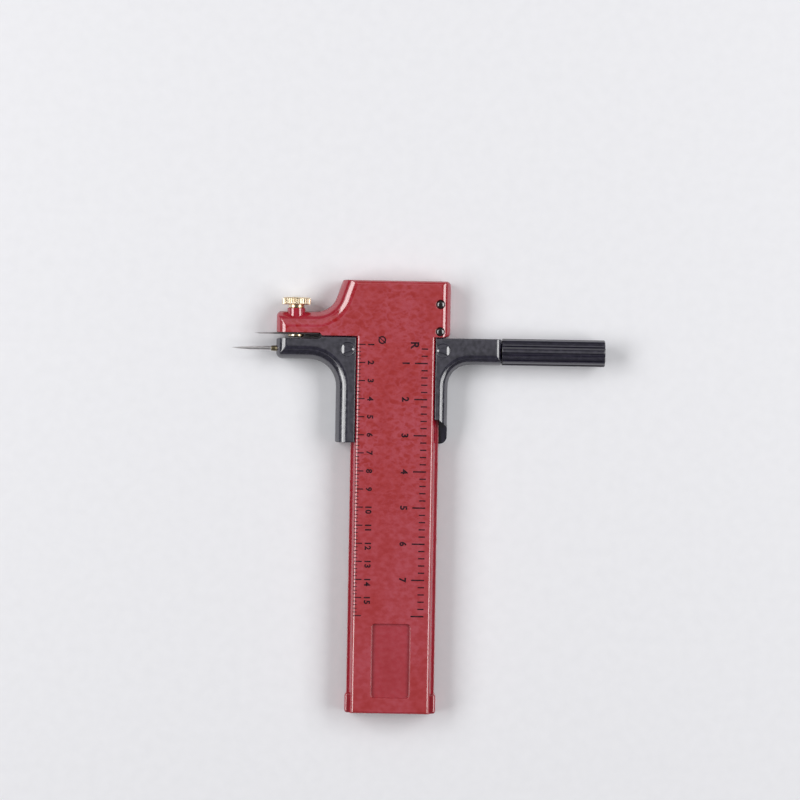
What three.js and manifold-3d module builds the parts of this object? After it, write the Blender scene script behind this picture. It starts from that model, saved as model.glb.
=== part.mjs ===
// Circle cutter of the caliper kind, for circles up to 150 mm across.
// Lengths are millimetres. +X runs from the needle to the grip, +Y along the beam to its head, and +Z to the
// printed face. The origin lies on the beam's centre line, level with the zero of its radius scale, in the
// plane that the tool rests on when its printed face looks up.

import * as THREE from 'three';
import { mergeVertices } from 'three/addons/utils/BufferGeometryUtils.js';
import Module from 'manifold-3d';

const wasm = await Module();
wasm.setup();

// Clearances and the overrun that carries a cut past the face it opens
const slideGap = 0.15;
const seatGap = 0.05;
const turnGap = 0.1;
const shutGap = 0.2;
const overrun = 1;

// Fineness of round shapes, as counts of flat faces
const boreSides = 24;
const shaftSides = 24;
const filletSteps = 6;
const roundSteps = 4;
const cornerSteps = 4;
const weldDistance = 0.0001;
const quarterTurn = Math.PI / 2;
const fullTurn = Math.PI * 2;

// Beam: a flanged bar with a raised, printed face
const raisedWidth = 21.7;
const raisedRound = 0.25;
const flangeReach = 1.35;
const flangeThickness = 2.85;
const beamReach = 107.07;

// Head, closed at the back by a screwed cover
const headWidth = 30;
const headShoulderDrop = 2.7;
const headSideRise = 2.85;
const headSideSlant = 19 * Math.PI / 180;
const headTopRound = 1.2;
const headSideRound = 3;
const headCornerRadius = 1.2;
const headCoverThickness = 2;
const headCoverInset = 1.8;
const headWall = 3.6;
const headRoof = 1.8;
const screwWall = 1.35;
const backRound = 1.4;

// Blade jaw on the head, and the fillet between them
const jawReach = 33;
const bladeJawRise = 4;
const jawFillet = 6;
const jawLand = 0.95;
const jawTipRadius = 1.3;
const seatDepth = 0.75;
const seatEndGap = 0.3;
const seatSlant = 0.6;

// Blade and the screw and nut that clamp it
const bladeLength = 17.9;
const bladeWidth = 5;
const bladeThickness = 0.4;
const bladePointLength = 4.3;
const bladeOutreach = 6.3;
const bladeTail = 2.05;
const bladeSlotEase = 0.15;
const clampInset = 5.2;
const clampShankRadius = 1.2;
const clampHeadRadius = 2.15;
const clampHeadThickness = 0.7;
const clampBossRadius = 2.5;
const clampBossRise = 0.85;
const nutCollarRadius = 2.2;
const nutCollarLength = 0.9;
const nutKnurlRadius = 4;
const nutKnurlDepth = 0.3;
const nutKnurlLength = 2;
const nutKnurlTeeth = 36;
const nutChamfer = 0.25;
const clampEndSink = 0.4;

// Head screws, sunk into the printed face
const headScrewInset = 2.8;
const upperScrewInset = 6.45;
const lowerScrewInset = 1.55;
const screwSinkRadius = 1.25;
const screwHeadRadius = 1.15;
const screwHeadLength = 1.25;
const screwSink = 2;
const screwShankRadius = 0.75;
const screwHoleRadius = 0.95;
const screwSlotWidth = 0.4;
const screwSlotDepth = 0.4;
const screwFloor = 0.3;

// Sunk panel near the beam's end
const panelWidth = 10.7;
const panelLength = 20.5;
const panelEndMargin = 4.37;
const panelDepth = 0.8;
const panelWall = 1.3;

// Hollows in the beam's back
const pocketWidth = 11;
const pocketDepth = 2.4;
const pocketTopDrop = 6;
const pocketEndWall = 3;
const pocketCount = 4;
const pocketRib = 1.6;

// Store for spare blades and a pencil lead, with its sliding cover
const storeHeadroom = 0.85;
const storeEndWall = 4.2;
const storeCoverSideLap = 0.5;
const storeCoverEndLap = 0.7;
const storeCoverPlate = 0.7;
const storeWingWidth = 0.7;
const storeWingThickness = 0.5;
const storeWingGap = 0.1;
const storeEndSink = 0.07;
const thumbGrooveCount = 5;
const thumbGroovePitch = 1.1;
const thumbGrooveWidth = 0.5;
const thumbGrooveDepth = 0.3;
const thumbGrooveLength = 7;
const thumbGrooveInset = 3;
const spareEndGap = 1.5;
const spareSideGap = 0.3;
const leadRadius = 1;
const leadLength = 18;
const leadSpacing = 2.8;

// Lugs at the beam's end, which stop the slider and serve as feet
const lugProud = 0.4;
const lugWidth = 4.2;
const lugLength = 5.57;
const lugRise = 1.8;
const lugRound = 0.8;

// Slider that wraps round the beam's flanges
const sliderLength = 29.3;
const sliderBackWall = 1.6;
const sliderLeftWall = 4.15;
const sliderRightWall = 2.15;
const sliderFaceSink = 0.1;
const sliderLeftRound = 4;
const sliderRightRound = 3;
const sliderHeelRadius = 2.1;
const rightLipShortfall = 6.7;
const needleJawWidth = 5.6;
const needleJawSink = 0.7;
const axisRise = 0.25;
const sliderJawFillet = 7.5;
const needleJawRadius = 1.2;
const armReach = 29;
const armWidth = 7.2;
const armFillet = 6;
const armEndRound = 0.9;
const shoulderRound = 0.4;

// Raised index marks on both lips of the slider
const indexLength = 3.25;
const indexHalfHeight = 1.4;
const indexRise = 0.2;
const indexRoot = 1;
const leftIndexInset = 1.6;
const rightIndexOutset = 0.2;

// Needle and its bush
const needleRadius = 0.6;
const needleOutreach = 12.6;
const needleTaper = 9.6;
const needleLength = 26.6;
const bushRadius = 0.95;
const bushLength = 9.6;
const bushOutreach = 1.6;

// Spring strip in the slider's left wall
const springThickness = 0.3;
const springWidth = 2.4;
const springBow = 0.85;
const springTopDrop = 4.7;
const springBottomRise = 3.6;
const springEndRoom = 1;
const springSteps = 12;

// Brake: a shoe that the grip's stud presses against the beam's flange
const shoeThickness = 1.5;
const shoeWidth = 4.6;
const shoeHeight = 4;
const shoeRoom = 1.2;
const studRadius = 1.95;
const studLength = 36.15;
const insertWall = 0.8;
const insertLength = 9;
const insertSink = 0.5;

// Grip: a fluted knob that turns the stud
const gripRadius = 3.7;
const gripLength = 28.6;
const gripSeam = 0.4;
const gripFlutes = 12;
const gripFluteDepth = 0.5;
const gripRibShare = 0.28;
const gripGrooveShare = 0.3;
const gripChamfer = 0.5;
const gripEndRoom = 0.5;

// Heights that follow from the sizes above. The beam is as thick as the store under its sunk panel needs.
const beamBack = sliderBackWall + slideGap;
const flangeTop = beamBack + flangeThickness;
const channelTop = flangeTop + slideGap;
const headFloor = headCoverThickness + seatGap;
const wingTop = beamBack + storeCoverPlate + storeWingThickness;
const storeFloor = wingTop + storeWingGap;
const storeRoof = storeFloor + leadRadius * 2 + storeHeadroom;
const panelFloor = storeRoof + panelWall;
const faceHeight = panelFloor + panelDepth;
const sliderFace = faceHeight - sliderFaceSink;
const axisHeight = sliderFace / 2 + axisRise;

// Places across the tool
const raisedEdge = raisedWidth / 2;
const flangeEdge = raisedEdge + flangeReach;
const lugEdge = flangeEdge + lugProud;
const channelEdge = flangeEdge + slideGap;
const lipEdge = raisedEdge + slideGap;
const headEdge = headWidth / 2;
const headCoverLeft = headCoverInset - headEdge;
const clampX = clampInset - jawReach;
const headScrewX = headEdge - headScrewInset;
const sliderLeft = -channelEdge - sliderLeftWall;
const sliderRight = channelEdge + sliderRightWall;
const seatRoot = bladeLength - bladeOutreach + seatEndGap - jawReach;
const studStart = flangeEdge + turnGap + shoeThickness + seatGap;
const insertRadius = Math.min(armWidth, sliderFace) / 2 - insertWall;
const storeEdge = spareSideGap + (bladeWidth + leadSpacing) / 2 + leadRadius;
const storeCoverEdge = storeEdge + storeCoverSideLap;
const wingEdge = storeCoverEdge + storeWingWidth;

// Places along the tool
const beamEnd = -beamReach;
const headShoulder = -headShoulderDrop;
const headTop = bladeJawRise + jawFillet + headSideRise;
const headScrewPlaces = [headTop - upperScrewInset, headShoulder + lowerScrewInset];
const seatLine = headShoulder + seatDepth;
const jawRound = bladeJawRise - seatLine - jawLand;
const bladeBack = seatLine - seatGap;
const bladeFront = bladeBack - bladeThickness;
const clampHeadBack = bladeFront - seatGap;
const clampHeadFront = clampHeadBack - clampHeadThickness;
const bossTop = bladeJawRise + clampBossRise;
const nutSeat = bossTop + seatGap;
const nutEnd = nutSeat + nutCollarLength + nutKnurlLength;
const sliderTop = headShoulder - shutGap;
const sliderBottom = sliderTop - sliderLength;
const needleJawTop = sliderTop - needleJawSink;
const needleLine = needleJawTop - needleJawWidth / 2;
const needleJawBottom = needleJawTop - needleJawWidth;
const needleTip = -jawReach - needleOutreach;
const needleEnd = needleTip + needleLength;
const armBottom = sliderTop - armWidth;
const lugTop = beamEnd + lugLength;
const springTop = sliderTop - springTopDrop;
const springBottom = sliderBottom + springBottomRise;
const storeBottom = beamEnd + storeEndWall;
const storeTop = storeBottom + Math.max(bladeLength, leadLength) + spareEndGap * 2;
const storeCoverStart = beamEnd + storeEndSink;
const storeCoverEnd = storeTop + storeCoverEndLap;

// Makes a closed solid of a geometry, with its faces turned outwards
function toSolid(geometry) {
  const bare = geometry.clone();
  bare.deleteAttribute('normal');
  bare.deleteAttribute('uv');
  const merged = mergeVertices(bare, weldDistance);
  const places = merged.attributes.position.array;
  const index = merged.index.array;
  const kept = [];
  for (let i = 0; i < index.length; i += 3) {
    const [a, b, c] = index.subarray(i, i + 3);
    if (a !== b && b !== c && c !== a) kept.push(a, b, c);
  }
  if (signedVolume(places, kept) < 0) kept.reverse();
  return new wasm.Manifold(new wasm.Mesh({
    numProp: 3,
    vertProperties: new Float32Array(places),
    triVerts: new Uint32Array(kept),
  }));
}

// Six times the volume inside the triangles, negative where they face inwards
function signedVolume(places, triangles) {
  const corners = [new THREE.Vector3(), new THREE.Vector3(), new THREE.Vector3()];
  let sum = 0;
  for (let i = 0; i < triangles.length; i += 3) {
    corners.forEach((corner, k) => corner.fromArray(places, triangles[i + k] * 3));
    sum += corners[0].dot(corners[1].cross(corners[2]));
  }
  return sum;
}

// Makes a geometry of a solid
function toGeometry(solid) {
  const mesh = solid.getMesh();
  const geometry = new THREE.BufferGeometry();
  geometry.setAttribute('position', new THREE.BufferAttribute(new Float32Array(mesh.vertProperties), 3));
  geometry.setIndex(new THREE.BufferAttribute(new Uint32Array(mesh.triVerts), 1));
  geometry.computeVertexNormals();
  return geometry;
}

// Joins a list of solids into one
function join(solids) {
  return solids.reduce((whole, solid) => whole.add(solid));
}

// Cuts a list of solids out of one
function cut(solid, cutters) {
  return cutters.reduce((rest, cutter) => rest.subtract(cutter), solid);
}

// A block between two places on each axis
function block([x0, x1], [y0, y1], [z0, z1]) {
  const geometry = new THREE.BoxGeometry(x1 - x0, y1 - y0, z1 - z0);
  geometry.translate((x0 + x1) / 2, (y0 + y1) / 2, (z0 + z1) / 2);
  return toSolid(geometry);
}

// A straight prism over an outline of [x, y] points, from one height to another
function prismAlongZ(points, z0, z1) {
  const shape = new THREE.Shape(points.map(([x, y]) => new THREE.Vector2(x, y)));
  const geometry = new THREE.ExtrudeGeometry(shape, { depth: z1 - z0, bevelEnabled: false });
  geometry.translate(0, 0, z0);
  return toSolid(geometry);
}

// The same along X, over an outline of [y, z] points
function prismAlongX(points, x0, x1) {
  const prism = prismAlongZ(points, x0, x1);
  return turned(prism, [0, 1, 0], [0, 0, 1], [1, 0, 0]);
}

// The same along Y, over an outline of [x, z] points
function prismAlongY(points, y0, y1) {
  const prism = prismAlongZ(points.map(([x, z]) => [z, x]), y0, y1);
  return turned(prism, [0, 0, 1], [1, 0, 0], [0, 1, 0]);
}

// Turns a solid so that its own axes point along the three given ones
function turned(solid, alongX, alongY, alongZ) {
  return solid.transform([...alongX, 0, ...alongY, 0, ...alongZ, 0, 0, 0, 0, 1]);
}

// A body of revolution about Y through (x, z). Its profile has [radius, y] points and starts and ends on
// the axis.
function turnedAboutY(profile, x, z, sides) {
  const geometry = new THREE.LatheGeometry(profile.map(([r, y]) => new THREE.Vector2(r, y)), sides);
  geometry.translate(x, 0, z);
  return toSolid(geometry);
}

// The same about X through (y, z), with [radius, x] points
function turnedAboutX(profile, y, z, sides) {
  const geometry = new THREE.LatheGeometry(profile.map(([r, x]) => new THREE.Vector2(r, x)), sides);
  geometry.rotateZ(-quarterTurn);
  geometry.translate(0, y, z);
  return toSolid(geometry);
}

// The same about Z through (x, y), with [radius, z] points
function turnedAboutZ(profile, x, y, sides) {
  const geometry = new THREE.LatheGeometry(profile.map(([r, z]) => new THREE.Vector2(r, z)), sides);
  geometry.rotateX(quarterTurn);
  geometry.translate(x, y, 0);
  return toSolid(geometry);
}

// The profile of a plain rod
function rod(radius, from, to) {
  return [[0, from], [radius, from], [radius, to], [0, to]];
}

// One corner of an outline. The edge that starts here draws in by front at the slab's front face and by
// rear at its back face, along quarter circles of those radii.
function corner(x, y, front = 0, rear = 0) {
  return { x, y, front, rear };
}

// Corners along an arc, with the same rounding on each of its edges
function arcCorners(centreX, centreY, radius, from, to, front, rear) {
  const corners = [];
  for (let i = 0; i <= filletSteps; i += 1) {
    const angle = from + (to - from) * i / filletSteps;
    const x = centreX + radius * Math.cos(angle);
    const y = centreY + radius * Math.sin(angle);
    corners.push(corner(x, y, front, rear));
  }
  return corners;
}

// How far an edge of this rounding has drawn in at a depth below the face
function drawnIn(round, depth) {
  if (depth >= round) return 0;
  return round - Math.sqrt(round * round - (round - depth) ** 2);
}

// The outline with each edge moved inwards by its own inset, and its corners where the moved edges cross
function insetOutline(corners, insetOf) {
  const edges = corners.map((here, i) => {
    const next = corners[(i + 1) % corners.length];
    const length = Math.hypot(next.x - here.x, next.y - here.y);
    const nx = -(next.y - here.y) / length;
    const ny = (next.x - here.x) / length;
    return { nx, ny, offset: nx * here.x + ny * here.y + insetOf(here) };
  });
  return edges.map((edge, i) => {
    const last = edges[(i + edges.length - 1) % edges.length];
    const turn = last.nx * edge.ny - last.ny * edge.nx;
    const x = (last.offset * edge.ny - edge.offset * last.ny) / turn;
    const y = (last.nx * edge.offset - edge.nx * last.offset) / turn;
    return new THREE.Vector2(x, y);
  });
}

// The levels that a slab's outline is taken at, from its back face to its front face
function slabLevels(corners, z0, z1) {
  const frontDepth = Math.max(...corners.map(({ front }) => front));
  const rearDepth = Math.max(...corners.map(({ rear }) => rear));
  const levels = [];
  for (let i = 0; i <= roundSteps; i += 1) {
    const depth = rearDepth * (1 - Math.sin(quarterTurn * i / roundSteps));
    if (rearDepth > 0 || i === 0) {
      levels.unshift({ z: z0 + depth, insetOf: ({ rear }) => drawnIn(rear, depth) });
    }
  }
  for (let i = 0; i <= roundSteps; i += 1) {
    const depth = frontDepth * (1 - Math.sin(quarterTurn * i / roundSteps));
    if (frontDepth > 0 || i === 0) {
      levels.push({ z: z1 - depth, insetOf: ({ front }) => drawnIn(front, depth) });
    }
  }
  return levels;
}

// A slab over an outline of corners, from one height to another, with its edges rounded as they say
function roundedSlab(corners, z0, z1) {
  const levels = slabLevels(corners, z0, z1);
  const loops = levels.map(({ insetOf }) => insetOutline(corners, insetOf));
  const count = corners.length;
  const places = loops.flatMap((loop, k) => loop.flatMap(({ x, y }) => [x, y, levels[k].z]));
  const index = [];
  for (let k = 0; k + 1 < loops.length; k += 1) {
    for (let i = 0; i < count; i += 1) {
      const a = k * count + i;
      const b = k * count + (i + 1) % count;
      index.push(a, b, b + count, a, b + count, a + count);
    }
  }
  const top = (loops.length - 1) * count;
  THREE.ShapeUtils.triangulateShape(loops[0], []).forEach(([a, b, c]) => index.push(c, b, a));
  THREE.ShapeUtils.triangulateShape(loops.at(-1), []).forEach(([a, b, c]) => {
    index.push(top + a, top + b, top + c);
  });
  const geometry = new THREE.BufferGeometry();
  geometry.setAttribute('position', new THREE.Float32BufferAttribute(places, 3));
  geometry.setIndex(index);
  return toSolid(geometry);
}

// A cutter that rounds an upright corner of a slab. inX and inY, 1 or -1, point into the material.
function cornerCutter(x, y, inX, inY, radius) {
  const points = [[x - inX * overrun, y - inY * overrun], [x + inX * radius, y - inY * overrun]];
  for (let i = 0; i <= cornerSteps; i += 1) {
    const angle = quarterTurn * i / cornerSteps;
    points.push([
      x + inX * radius * (1 - Math.sin(angle)),
      y + inY * radius * (1 - Math.cos(angle)),
    ]);
  }
  points.push([x - inX * overrun, y + inY * radius]);
  return prismAlongZ(points, -overrun, faceHeight + overrun);
}

// A named mesh with its own material
function piece(name, solid, material) {
  const mesh = new THREE.Mesh(toGeometry(solid), new THREE.MeshStandardMaterial(material));
  mesh.name = name;
  return mesh;
}

// The head's outline, counterclockwise from its lower right corner, with the blade jaw on its left. Its left
// side leans out towards the jaw by the slant, and the fillet touches both that side and the jaw's upper edge.
function headCorners() {
  const filletY = bladeJawRise + jawFillet;
  const drop = (headTop - filletY) * Math.sin(headSideSlant);
  const filletX = -headEdge - (jawFillet + drop) / Math.cos(headSideSlant);
  return [
    corner(headEdge, headShoulder, headSideRound),
    corner(headEdge, headTop, headTopRound, backRound),
    corner(-headEdge, headTop, jawRound, backRound),
    ...arcCorners(filletX, filletY, jawFillet, -headSideSlant, -quarterTurn, jawRound, backRound),
    corner(-jawReach, bladeJawRise, jawRound, backRound),
    corner(-jawReach, seatLine),
    corner(seatRoot, seatLine),
    corner(seatRoot + seatSlant, headShoulder),
  ];
}

// Cutters for the two upright corners on the head's right side
function headCornerCutters() {
  return [
    cornerCutter(headEdge, headTop, -1, -1, headCornerRadius),
    cornerCutter(headEdge, headShoulder, -1, 1, headCornerRadius),
  ];
}

// The bar: its flanges and its raised face, both run on into the head
function barSolid() {
  const flange = block([-flangeEdge, flangeEdge], [beamEnd, 0], [beamBack, flangeTop]);
  const raised = roundedSlab([
    corner(raisedEdge, beamEnd, raisedRound),
    corner(raisedEdge, 0),
    corner(-raisedEdge, 0, raisedRound),
    corner(-raisedEdge, beamEnd, raisedRound),
  ], beamBack, faceHeight);
  return flange.add(raised);
}

// The lug at one side of the beam's end, side 1 for the right and -1 for the left
function lugSolid(side) {
  const inner = side * (lugEdge - lugWidth);
  const outer = side * lugEdge;
  const left = Math.min(inner, outer);
  const right = Math.max(inner, outer);
  return roundedSlab([
    corner(right, beamEnd, lugRound, lugRound),
    corner(right, lugTop, lugRound, lugRound),
    corner(left, lugTop, lugRound, lugRound),
    corner(left, beamEnd, lugRound, lugRound),
  ], 0, flangeTop + lugRise);
}

// The hollows in the bar's back, parted by ribs
function backPockets() {
  const bottom = storeCoverEnd + shutGap + pocketEndWall;
  const pitch = (pocketRib - pocketTopDrop - bottom) / pocketCount;
  const pockets = [];
  for (let i = 0; i < pocketCount; i += 1) {
    const top = -pocketTopDrop - i * pitch;
    const span = [top - pitch + pocketRib, top];
    pockets.push(block([-pocketWidth / 2, pocketWidth / 2], span, [-overrun, beamBack + pocketDepth]));
  }
  return pockets;
}

// The store for spares and the grooves that its cover slides in
function storeCutters() {
  const mouth = storeCoverEdge + slideGap;
  const groove = wingEdge + slideGap;
  const grooveBack = beamBack + storeCoverPlate - storeWingGap;
  const run = [beamEnd - overrun, storeCoverEnd + shutGap];
  return [
    block([-mouth, mouth], run, [-overrun, storeFloor]),
    block([-groove, groove], run, [grooveBack, storeFloor]),
    block([-storeEdge, storeEdge], [storeBottom, storeTop], [beamBack, storeRoof]),
  ];
}

// Everything that is cut out of the head
function headCutters() {
  const cavityEdge = headEdge - headWall;
  const cavity = block(
    [-cavityEdge, headScrewX - screwSinkRadius - screwWall],
    [headShoulder + headRoof, headTop - headRoof],
    [-overrun, faceHeight - headRoof],
  );
  const coverRoom = block(
    [headCoverLeft - seatGap, headEdge + overrun],
    [headShoulder - seatGap, headTop + overrun],
    [-overrun, headFloor],
  );
  const sinkFloor = faceHeight - screwSink;
  const screwHoles = headScrewPlaces.flatMap((y) => [
    turnedAboutZ(rod(screwSinkRadius, sinkFloor, faceHeight + overrun), headScrewX, y, boreSides),
    turnedAboutZ(rod(screwHoleRadius, 0, faceHeight), headScrewX, y, boreSides),
  ]);
  const clampBore = turnedAboutY(
    rod(clampShankRadius + bladeSlotEase, bladeFront, bossTop + overrun),
    clampX,
    axisHeight,
    boreSides,
  );
  return [cavity, coverRoom, ...screwHoles, clampBore];
}

function beam() {
  const head = roundedSlab(headCorners(), 0, faceHeight);
  const boss = turnedAboutY(rod(clampBossRadius, 0, bossTop), clampX, axisHeight, shaftSides);
  const panel = block(
    [-panelWidth / 2, panelWidth / 2],
    [beamEnd + panelEndMargin, beamEnd + panelEndMargin + panelLength],
    [panelFloor, faceHeight + overrun],
  );
  const whole = join([head, boss, barSolid(), lugSolid(1), lugSolid(-1)]);
  const solid = cut(whole, [
    ...headCornerCutters(),
    cornerCutter(-jawReach, bladeJawRise, 1, -1, jawTipRadius),
    cornerCutter(-jawReach, seatLine, 1, 1, jawTipRadius),
    ...headCutters(),
    ...backPockets(),
    ...storeCutters(),
    panel,
  ]);
  return piece('beam', solid, { color: 0xa63e46, roughness: 0.45, metalness: 0 });
}

function headBackCover() {
  const plate = roundedSlab([
    corner(headEdge, headShoulder, 0, backRound),
    corner(headEdge, headTop, 0, backRound),
    corner(headCoverLeft, headTop),
    corner(headCoverLeft, headShoulder),
  ], 0, headCoverThickness);
  const pilots = headScrewPlaces.map((y) => turnedAboutZ(
    rod(screwShankRadius + seatGap, screwFloor, headCoverThickness + overrun),
    headScrewX,
    y,
    boreSides,
  ));
  const solid = cut(plate, [...headCornerCutters(), ...pilots]);
  return piece('head_back_cover', solid, { color: 0xa03c46, roughness: 0.5, metalness: 0 });
}

function headScrew(name, y) {
  const headBack = faceHeight - screwSink + seatGap;
  const headFront = headBack + screwHeadLength;
  const body = turnedAboutZ([
    [0, screwFloor + turnGap],
    [screwShankRadius, screwFloor + turnGap],
    [screwShankRadius, headBack],
    [screwHeadRadius, headBack],
    [screwHeadRadius, headFront],
    [0, headFront],
  ], headScrewX, y, shaftSides);
  const slot = block(
    [headScrewX - screwHeadRadius - overrun, headScrewX + screwHeadRadius + overrun],
    [y - screwSlotWidth / 2, y + screwSlotWidth / 2],
    [headFront - screwSlotDepth, headFront + overrun],
  );
  return piece(name, body.subtract(slot), { color: 0x2b282c, roughness: 0.35, metalness: 0.8 });
}

// A blade's outline in its own plane, from its point at 0 to its square end, as [along, across] points
function bladeOutline() {
  const half = bladeWidth / 2;
  return [
    [0, 0],
    [bladePointLength, -half],
    [bladeLength, -half],
    [bladeLength, half],
    [bladePointLength, half],
  ];
}

// The slot in a blade, which the clamp's shank passes through, as [along, across] points
function bladeSlot() {
  const reach = clampShankRadius + bladeSlotEase;
  const start = clampInset + bladeOutreach - reach;
  const end = bladeLength - bladeTail;
  return [[start, -reach], [end, -reach], [end, reach], [start, reach]];
}

function blade() {
  const tip = -jawReach - bladeOutreach;
  const place = ([along, across]) => [tip + along, axisHeight + across];
  const body = prismAlongY(bladeOutline().map(place), bladeFront, bladeBack);
  const slot = prismAlongY(bladeSlot().map(place), bladeFront - overrun, bladeBack + overrun);
  return piece('blade', body.subtract(slot), { color: 0xc7aeb2, roughness: 0.25, metalness: 1 });
}

// A spare blade, lying flat in the store with its point towards the beam's end
function spareBlade(name, layer) {
  const back = wingTop + seatGap + layer * (bladeThickness + seatGap);
  const tip = storeTop - spareEndGap - bladeLength;
  const middle = spareSideGap + bladeWidth / 2 - storeEdge;
  const place = ([along, across]) => [middle + across, tip + along];
  const body = prismAlongZ(bladeOutline().map(place), back, back + bladeThickness);
  const slot = prismAlongZ(bladeSlot().map(place), back - overrun, back + bladeThickness + overrun);
  return piece(name, body.subtract(slot), { color: 0xc9c2c4, roughness: 0.25, metalness: 1 });
}

function spareLead() {
  const top = storeTop - spareEndGap;
  const middle = storeEdge - spareSideGap - leadRadius;
  const height = storeFloor + leadRadius;
  const solid = turnedAboutY(rod(leadRadius, top - leadLength, top), middle, height, shaftSides);
  return piece('spare_lead', solid, { color: 0x35343a, roughness: 0.5, metalness: 0.3 });
}

function storageCover() {
  const plateTop = beamBack + storeCoverPlate;
  const body = prismAlongY([
    [-storeCoverEdge, beamBack],
    [storeCoverEdge, beamBack],
    [storeCoverEdge, plateTop],
    [wingEdge, plateTop],
    [wingEdge, wingTop],
    [-wingEdge, wingTop],
    [-wingEdge, plateTop],
    [-storeCoverEdge, plateTop],
  ], storeCoverStart, storeCoverEnd);
  const grooves = [];
  for (let i = 0; i < thumbGrooveCount; i += 1) {
    const y = storeCoverStart + thumbGrooveInset + i * thumbGroovePitch;
    grooves.push(prismAlongX([
      [y - thumbGrooveWidth, beamBack - thumbGrooveDepth],
      [y, beamBack + thumbGrooveDepth],
      [y + thumbGrooveWidth, beamBack - thumbGrooveDepth],
    ], -thumbGrooveLength / 2, thumbGrooveLength / 2));
  }
  return piece('storage_cover', cut(body, grooves), { color: 0x96323c, roughness: 0.5, metalness: 0 });
}

// A ring of teeth, as [across, up] points about the centre
function toothedRing(centreX, centreZ, tip, root, teeth) {
  const points = [];
  for (let i = 0; i < teeth * 2; i += 1) {
    const radius = i % 2 === 0 ? tip : root;
    const angle = fullTurn * i / (teeth * 2);
    points.push([centreX + radius * Math.cos(angle), centreZ + radius * Math.sin(angle)]);
  }
  return points;
}

function clampNut() {
  const knurlStart = nutSeat + nutCollarLength;
  const root = nutKnurlRadius - nutKnurlDepth;
  const ring = toothedRing(clampX, axisHeight, nutKnurlRadius, root, nutKnurlTeeth);
  const knurl = prismAlongY(ring, knurlStart, nutEnd);
  const blank = turnedAboutY([
    [0, knurlStart - overrun],
    [nutKnurlRadius - nutChamfer - overrun, knurlStart - overrun],
    [nutKnurlRadius + seatGap, knurlStart + nutChamfer],
    [nutKnurlRadius + seatGap, nutEnd - nutChamfer],
    [nutKnurlRadius - nutChamfer, nutEnd],
    [0, nutEnd],
  ], clampX, axisHeight, nutKnurlTeeth);
  const collar = turnedAboutY(
    rod(nutCollarRadius, nutSeat, nutEnd - nutChamfer),
    clampX,
    axisHeight,
    shaftSides,
  );
  const bore = turnedAboutY(
    rod(clampShankRadius + turnGap, nutSeat - overrun, nutEnd + overrun),
    clampX,
    axisHeight,
    boreSides,
  );
  const solid = knurl.intersect(blank).add(collar).subtract(bore);
  return piece('clamp_nut', solid, { color: 0xd2b46e, roughness: 0.3, metalness: 1 });
}

function clampScrew() {
  const solid = turnedAboutY([
    [0, clampHeadFront],
    [clampHeadRadius, clampHeadFront],
    [clampHeadRadius, clampHeadBack],
    [clampShankRadius, clampHeadBack],
    [clampShankRadius, nutEnd - clampEndSink],
    [0, nutEnd - clampEndSink],
  ], clampX, axisHeight, shaftSides);
  return piece('clamp_screw', solid, { color: 0xcaa964, roughness: 0.35, metalness: 1 });
}

// The slider's outline, counterclockwise from its lower right corner, with the arm on its right and the
// needle jaw on its left
function sliderCorners() {
  const armFilletX = sliderRight + armFillet;
  const armFilletY = armBottom - armFillet;
  const jawFilletX = sliderLeft - sliderJawFillet;
  const jawFilletY = needleJawBottom - sliderJawFillet;
  const halfTurn = quarterTurn * 2;
  return [
    corner(sliderRight, sliderBottom, sliderRightRound, backRound),
    ...arcCorners(armFilletX, armFilletY, armFillet, halfTurn, quarterTurn, sliderRightRound, backRound),
    corner(armReach, armBottom, armEndRound, armEndRound),
    corner(armReach, sliderTop, shoulderRound, shoulderRound),
    corner(seatRoot + seatSlant, sliderTop),
    corner(seatRoot, needleJawTop),
    corner(-jawReach, needleJawTop, sliderRightRound, backRound),
    corner(-jawReach, needleJawBottom, sliderLeftRound, backRound),
    ...arcCorners(jawFilletX, jawFilletY, sliderJawFillet, quarterTurn, 0, sliderLeftRound, backRound),
    corner(sliderLeft, sliderBottom, shoulderRound, shoulderRound),
  ];
}

// The room that the beam takes inside the slider, and the open end of the right lip
function beamRoom() {
  const run = [sliderBottom - overrun, sliderTop + overrun];
  return [
    block([-channelEdge, channelEdge], run, [sliderBackWall, channelTop]),
    block([-lipEdge, lipEdge], run, [sliderBackWall, faceHeight + overrun]),
    block(
      [0, sliderRight + overrun],
      [sliderBottom - overrun, sliderBottom + rightLipShortfall],
      [channelTop, faceHeight + overrun],
    ),
  ];
}

// The pockets for the brake shoe and the spring strip, both open to the channel
function sliderPockets() {
  const springWall = -flangeEdge - seatGap - springBow - springThickness - turnGap;
  const springEnds = [springBottom - springEndRoom, springTop + springEndRoom];
  return [
    block(
      [flangeEdge - seatGap, channelEdge + shoeThickness + shoeRoom],
      [needleLine - shoeWidth / 2 - turnGap, needleLine + shoeWidth / 2 + turnGap],
      [axisHeight - shoeHeight / 2 - turnGap, axisHeight + shoeHeight / 2 + turnGap],
    ),
    block([springWall, 0], springEnds, [sliderBackWall, channelTop]),
  ];
}

// The bores for the needle, its bush, the stud and its threaded insert
function sliderBores() {
  const needleBore = rod(needleRadius + seatGap, needleEnd + seatGap, -jawReach);
  const bushEnd = -jawReach - bushOutreach + bushLength;
  const bushBore = rod(bushRadius + seatGap, bushEnd + seatGap, -jawReach - overrun);
  const studBore = rod(studRadius + turnGap, channelEdge, armReach);
  const insertStart = armReach - insertSink - insertLength;
  const insertBore = rod(insertRadius + seatGap, insertStart - seatGap, armReach + overrun);
  return [needleBore, bushBore, studBore, insertBore].map(
    (profile) => turnedAboutX(profile, needleLine, axisHeight, boreSides),
  );
}

// A raised triangle that points inwards from its base
function indexMark(base, apex) {
  return prismAlongZ([
    [base, needleLine - indexHalfHeight],
    [base, needleLine + indexHalfHeight],
    [apex, needleLine],
  ], sliderFace - indexRoot, sliderFace + indexRise);
}

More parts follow.
